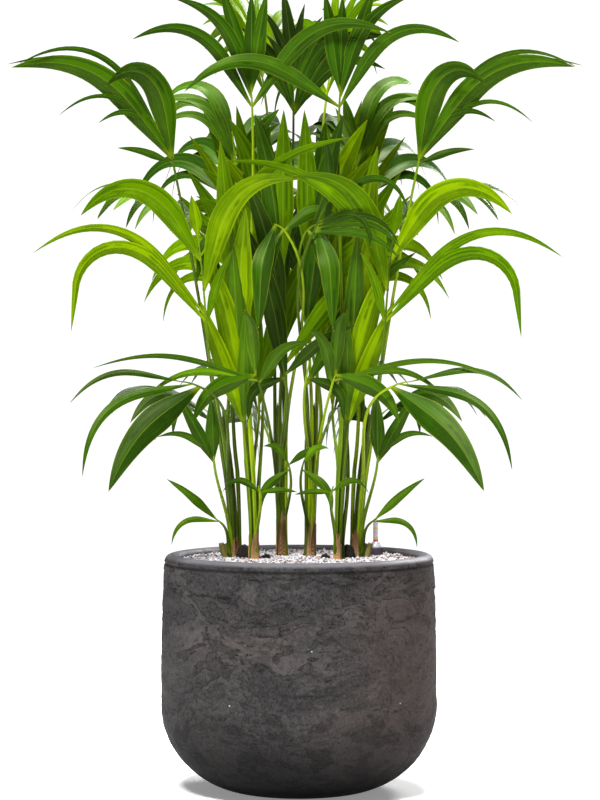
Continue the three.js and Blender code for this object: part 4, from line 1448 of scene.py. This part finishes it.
@dataclass
class Planter:
    """The round planter: its smooth profile, and the slate-like relief over its side."""

    height: float = 404
    foot_radius: float = 92
    belly_radius: float = 236.5
    belly_height: float = 152
    foot_pull: float = 60
    belly_pull: float = 100
    rim_radius: float = 230
    lip_width: float = 26
    lip_height: float = 11
    under_gravel: float = 380
    columns: int = 500
    foot_rows: int = 54
    side_rows: int = 118
    lip_rows: int = 20
    slab_limit: float = 1.6
    fading: float = 26
    groove: float = 4
    groove_half: float = 2
    groove_depth: float = 1.6
    front: tuple[Ledge, ...] = (
        Ledge(2.6, 14, (
            (-70, 357), (-50, 352), (-31, 345), (-20, 377), (-8, 380), (0, 384), (19, 369), (27, 372),
        )),
        Ledge(2.3, 12, ((-22, 299), (-15, 289), (-9, 284), (0, 303), (9, 292), (21, 262), (30, 258))),
        Ledge(2.2, 14, ((-32, 263), (-24, 252), (-16, 233), (-10, 236))),
        Ledge(2.0, 12, ((-12, 228), (-4, 219), (4, 226), (12, 214), (20, 220))),
        Ledge(1.8, 12, ((-6, 196), (3, 187), (12, 193), (24, 182))),
        Ledge(1.8, 10, ((18, 386), (24, 378), (36, 381), (44, 376))),
        Ledge(1.8, 14, ((-60, 300), (-48, 292), (-40, 306), (-33, 298))),
        Ledge(2.2, 16, ((34, 318), (45, 306), (58, 314), (72, 300))),
        Ledge(1.6, 12, ((26, 166), (40, 158), (54, 168))),
        Ledge(1.8, 12, ((-56, 208), (-44, 198), (-32, 206), (-24, 190))),
    )
    repeats: Pairs = ((0, 1.0), (121, 0.6), (238, 0.6))

    def profile(self) -> np.ndarray:
        """The [radius, height] pairs from the middle of the underside, over the lip, to inside the wall."""
        shoulder = self.height - self.lip_height
        half = self.lip_width / 2
        middle = self.rim_radius - half
        pulls = (
            (self.foot_radius, 0),
            (self.foot_radius + self.foot_pull, 0),
            (self.belly_radius, self.belly_height - self.belly_pull),
            (self.belly_radius, self.belly_height),
        )
        bottom = curve(*np.array(pulls, float), np.linspace(0, 1, self.foot_rows)[:, None])
        z = np.linspace(self.belly_height, shoulder, self.side_rows)[1:]
        rise = (z - self.belly_height) / (self.height - self.belly_height)
        side = np.stack([self.belly_radius + (self.rim_radius - self.belly_radius) * rise**2, z], axis=1)
        turn = np.radians(np.linspace(0, 180, self.lip_rows)[1:])
        lip = np.stack([middle + half * np.cos(turn), shoulder + self.lip_height * np.sin(turn)], axis=1)
        inner = self.rim_radius - self.lip_width
        wall = [(inner, shoulder - self.groove), (inner - 0.5, self.under_gravel), (0.5, self.under_gravel)]
        return np.concatenate([[(0.5, 0), (self.foot_radius * 0.6, 0)], bottom, side, lip, wall])

    def relief(self, azimuth: np.ndarray, z: np.ndarray, radius: np.ndarray) -> np.ndarray:
        """How far the stone stands out at each point of the side, in millimetres."""
        angle = np.radians(azimuth)
        x, y = radius * np.sin(angle), -radius * np.cos(angle)
        slabs = np.empty_like(z)
        for i in np.ndindex(z.shape):
            p = Vector((x[i] * 0.012, y[i] * 0.012, z[i] * 0.02))
            step = noise.fractal(p, 0.8, 2.2, 4) * 2.4
            whole = math.floor(step)
            slabs[i] = (whole + smooth(step - whole, 0.7, 1.0)) * 0.55 + noise.noise(p * 9) * 0.3
        total = np.clip(slabs, -self.slab_limit, self.slab_limit)
        for ledge in self.front:
            for turn, share in self.repeats:
                total = total + ledge.relief(azimuth, z, turn) * share
        return total

    def build(self) -> None:
        """Builds the planter."""
        profile = self.profile()
        shoulder = self.height - self.lip_height
        azimuth = np.arange(self.columns) / self.columns * 360 - 180
        radius, z = (np.repeat(profile[:, i : i + 1], self.columns, axis=1) for i in range(2))
        turns = np.repeat(azimuth[None], len(profile), axis=0)
        rows = np.arange(len(profile))
        outside = (rows > 2) & (rows < 2 + self.foot_rows + self.side_rows)
        relief = np.zeros_like(z)
        relief[outside] = self.relief(turns[outside], z[outside], radius[outside])
        fade = np.clip(z / self.fading, 0, 1) * np.clip((shoulder - 3 - z) / 9, 0, 1)
        off = (z - (shoulder - self.groove)) / self.groove_half
        groove = -self.groove_depth * np.exp(-(off**2)) * outside[:, None]
        total = radius + relief * fade + groove
        angle = np.radians(turns)
        sheaf = Sheaf()
        sheaf.loft(np.stack([total * np.sin(angle), -total * np.cos(angle), z], axis=-1))
        stone = StoneFinish("slate_stone", paint(20, 19, 19), paint(60, 57, 57), paint(72, 69, 69))
        piece = sheaf.make("planter_stone", stone)
        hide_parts("planter")


GRANULES = {
    "white": (0.3, (204, 203, 204), (172, 170, 172)),
    "blue": (0.19, (176, 180, 190), (144, 148, 160)),
    "rose": (0.2, (168, 152, 148), (136, 120, 116)),
    "tan": (0.11, (128, 104, 90), (98, 78, 68)),
    "grey": (0.12, (124, 120, 122), (90, 86, 88)),
    "dark": (0.08, (70, 58, 54), (44, 38, 36)),
}


@dataclass
class Granulate:
    """The mineral granules that cover the planter's fill."""

    level_radius: float = 172
    edge_radius: float = 203
    edge: float = 391
    pitch: float = 4.3
    unrest: float = 1.4
    size: tuple[float, float] = (2.0, 3.1)
    lifts: tuple[float, float] = (-0.4, 1.2)
    heaped: int = 2800
    heap_unrest: float = 2
    heap_lifts: tuple[float, float] = (1.8, 3.4)
    margin: float = 1.5
    off_gauge: float = 13

    def surface(self, radius: np.ndarray) -> np.ndarray:
        """The height of the fill at a distance from the planter's axis."""
        slope = np.clip((radius - self.level_radius) / (self.edge_radius - self.level_radius), 0, 1)
        return GRAVEL_TOP + (self.edge - GRAVEL_TOP) * slope

    def places(self, rng: np.random.Generator) -> np.ndarray:
        """The middles of the granules, close together but clear of the stems and the gauge."""
        count = int(self.edge_radius * 2 / self.pitch) + 1
        i, j = np.meshgrid(np.arange(-count, count), np.arange(-count, count))
        x = (i + (j % 2) * 0.5) * self.pitch
        flat = np.stack([x.ravel(), (j * self.pitch * 0.866).ravel()], axis=1)
        flat = flat + rng.uniform(-self.unrest, self.unrest, flat.shape)
        extra = flat[rng.integers(0, len(flat), self.heaped)]
        extra = extra + rng.uniform(-self.heap_unrest, self.heap_unrest, extra.shape)
        low = np.concatenate([flat, extra])
        spans = ((self.lifts, flat), (self.heap_lifts, extra))
        lift = np.concatenate([rng.uniform(*span, len(some)) for span, some in spans])
        radius = np.hypot(*low.T)
        keep = radius < self.edge_radius - self.margin
        stems = [(CLUMP_X + side * s.out, s.y, s.foot_radius) for s in STEMS for side in (LEFT, RIGHT)]
        for x, y, clear in (*stems, (*GAUGE_AT, self.off_gauge)):
            keep &= np.hypot(low[:, 0] - x, low[:, 1] - y) > clear
        return np.concatenate([low, (self.surface(radius) + lift)[:, None]], axis=1)[keep]

    def build(self) -> None:
        """Builds the granules, uneven twenty-sided stones, and finishes the fill beneath them."""
        rng = np.random.default_rng(5)
        places = self.places(rng)
        count = len(places)
        golden = (1 + 5**0.5) / 2
        ends = [(a, b * golden, 0) for b in (1, -1) for a in (-1, 1)]
        corners = np.array([np.roll(end, turn) for turn in range(3) for end in ends]) / math.hypot(1, golden)
        faces = []
        for face in combinations(range(len(corners)), 3):
            a, b, c = corners[list(face)]
            if max(math.dist(a, b), math.dist(b, c), math.dist(c, a)) < 1.1:
                faces.append(face if np.dot(np.cross(a, b), c) > 0 else face[::-1])
        shape = corners * rng.uniform(0.72, 1.12, (count, len(corners), 1))
        shape = shape * rng.uniform(0.75, 1.2, (count, 1, 3))
        spin = rng.normal(size=(count, 1, 4))
        spin = spin / np.linalg.norm(spin, axis=-1, keepdims=True)
        turn, axis = spin[..., :1], spin[..., 1:]
        shape = shape + 2 * np.cross(axis, np.cross(axis, shape) + turn * shape)
        points = shape * rng.uniform(*self.size, (count, 1, 1)) + places[:, None]
        dealt = rng.choice(len(GRANULES), count, p=[share for share, _, _ in GRANULES.values()])
        sheaf = Sheaf()
        sheaf.copies(points, np.array(faces), dealt)
        finishes = [
            GrainFinish(f"granule_{name}", paint(*colour), paint(*mottle))
            for name, (_, colour, mottle) in GRANULES.items()
        ]
        piece = sheaf.make("granules", *finishes, soft=False)
        bed = GrainFinish("granule_bed", paint(84, 76, 72), paint(48, 43, 41), 260.0)
        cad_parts["gravel"].data.materials[0] = bed.material()


@dataclass
class Gauge:
    """The water-level gauge: a ribbed cap, a milky cone and a clear-white tube with its float and marks.

    Each outline has the radius and the height over the granulate of every ring, from below.
    """

    cap: Pairs = ((1, 0), (12.4, 0), (12.74, 1), (13, 2), (13, 13.4), (12.7, 14))
    cap_ribs: float = 0.035
    cap_top: Pairs = ((12.8, 13.6), (12.5, 14.6), (11.6, 15), (6.5, 15))
    cone: Pairs = ((10.1, 14.8), (9.9, 16.6), (8.7, 18.4), (7.1, 21.2), (6.5, 23.4), (5.8, 24), (4.2, 24))
    tube: Pairs = ((3.78, 24), (4.2, 24.9), (4.2, 61.9), (3.7, 63.3), (2.7, 64.2), (0.3, 64.3))
    float_ring: Pairs = ((4.25, 25.1), (4.4, 25.5), (4.4, 27.5), (4.25, 27.9))
    mark: Pairs = ((4.22, -0.9), (4.38, -0.6), (4.38, 0.6), (4.22, 0.9))
    marks: tuple[float, ...] = (30.7, 47.7)

    def turned(self, sheaf: Sheaf, outline: Pairs, sides: int, slot: int = 0, ribs: float = 0.0) -> None:
        """Adds a form turned about the gauge's axis, with ribs round it where asked."""
        turns = round_turns(sides)
        rib = 1 - ribs * (np.cos(turns * sides / 4) > 0.2)
        foot = GRAVEL_TOP + GAP
        sheaf.loft(np.array([level_ring((*GAUGE_AT, foot + z), r * rib, turns) for r, z in outline]), slot)

    def build(self) -> None:
        """Builds the gauge."""
        cap, pipe = Sheaf(), Sheaf()
        self.turned(cap, self.cap, 128, 0, self.cap_ribs)
        self.turned(cap, self.cap_top, 64)
        self.turned(cap, self.cone, 64, 1)
        piece = cap.make(
            "gauge_cap_body",
            PlasticFinish("cap_plastic", paint(66, 54, 68), paint(96, 84, 98), 0.42),
            PlasticFinish("cone_plastic", paint(184, 186, 190), paint(160, 162, 168), 0.25, 0.4),
        )
        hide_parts("gauge_cap")
        self.turned(pipe, self.tube, 48)
        self.turned(pipe, self.float_ring, 48, 2)
        for height in self.marks:
            self.turned(pipe, tuple((r, height + z) for r, z in self.mark), 48, 1)
        piece = pipe.make(
            "gauge_tube_body",
            PlasticFinish("tube_plastic", paint(214, 206, 210), paint(196, 188, 194), 0.4, 0.1),
            PlasticFinish("mark_paint", paint(212, 186, 84), paint(196, 166, 70), 0.4),
            PlasticFinish("float_plastic", paint(196, 40, 30), paint(160, 30, 26), 0.3, 0.3),
        )
        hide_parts("gauge_tube")


@dataclass
class Studio:
    """The plain floor, the soft light and the camera, in metres."""

    distance: float = 4.5
    eye: float = 0.7375
    lens: float = 118.08
    aside: float = 0.0017
    rise: float = -41 / 800
    aim: float = 0.7
    sky: float = 0.11
    backdrop_glow: float = 1.1
    dome_radius: float = 30.0
    floor: Pairs = ((3.2, -0.6), (3.2, 0.0), (2.0, 0.0), (0.7, 0.0), (0.02, 0.0))

    def lamp(self, name: str, at: tuple[float, float, float], size: float, power: float) -> None:
        """Adds a large soft lamp that looks at the crown."""
        light = bpy.data.lights.new(name, "AREA")
        light.shape = "DISK"
        light.size = size
        light.energy = power
        lamp = bpy.data.objects.new(name, light)
        lamp.location = at
        lamp.rotation_euler = (Vector((0, 0, self.aim)) - Vector(at)).to_track_quat("-Z", "Y").to_euler()
        bpy.context.scene.collection.objects.link(lamp)

    def ground(self) -> None:
        """Adds the plain floor, a wide disc whose rim hangs a little below it."""
        rings = [level_ring((0, 0, z), r, round_turns(96)) for r, z in self.floor]
        sheaf = Sheaf()
        sheaf.loft(np.array(rings) * (1000, 1000, 1))
        sheaf.make("floor", FloorFinish("pale_floor", paint(249, 249, 248)))

    def backdrop(self) -> None:
        """Adds the pale backdrop, a dome all round that is seen but sheds no light."""
        climbs = np.radians(np.linspace(-89.5, 89.5, 33))
        rings = [level_ring((0, 0, np.sin(c)), np.cos(c), round_turns(64)) for c in climbs]
        sheaf = Sheaf()
        sheaf.loft(np.array(rings) * (self.dome_radius * 1000), flip=True)
        dome = sheaf.make("backdrop", GlowFinish("pale_backdrop", self.backdrop_glow))
        dome.visible_diffuse = dome.visible_glossy = dome.visible_transmission = dome.visible_shadow = False

    def camera(self) -> None:
        """Adds the camera, which looks level at the crown."""
        camera = bpy.data.cameras.new("camera")
        camera.lens = self.lens
        camera.sensor_width = 36
        camera.shift_y = self.rise
        camera.clip_end = 200
        holder = bpy.data.objects.new("camera", camera)
        holder.location = (self.aside, -self.distance, self.eye)
        holder.rotation_euler = (math.pi / 2, 0, 0)
        bpy.context.scene.collection.objects.link(holder)
        bpy.context.scene.camera = holder

    def build(self) -> None:
        """Builds the studio."""
        scene = bpy.context.scene
        scene.view_settings.view_transform = "Standard"
        scene.world = bpy.data.worlds.new("soft_sky")
        scene.world.use_nodes = True
        sky = scene.world.node_tree.nodes["Background"]
        sky.inputs["Color"].default_value = (1.0, 1.0, 1.0, 1.0)
        sky.inputs["Strength"].default_value = self.sky
        self.lamp("key", (-0.9, -2.8, 4.6), 1.5, 680)
        self.lamp("top", (0.5, 0.6, 4.6), 1.4, 370)
        self.lamp("rear", (1.8, 3.2, 2.6), 1.6, 160)
        self.ground()
        self.backdrop()
        self.camera()


def main() -> None:
    """Builds everything in order."""
    logging.basicConfig(level=logging.INFO, format="%(name)s: %(message)s")
    for part in (Studio(), Planter(), Granulate(), Gauge(), Stems(), Crown()):
        part.build()
        LOG.info("%s built", type(part).__name__)


if __name__ == "__main__":
    main()
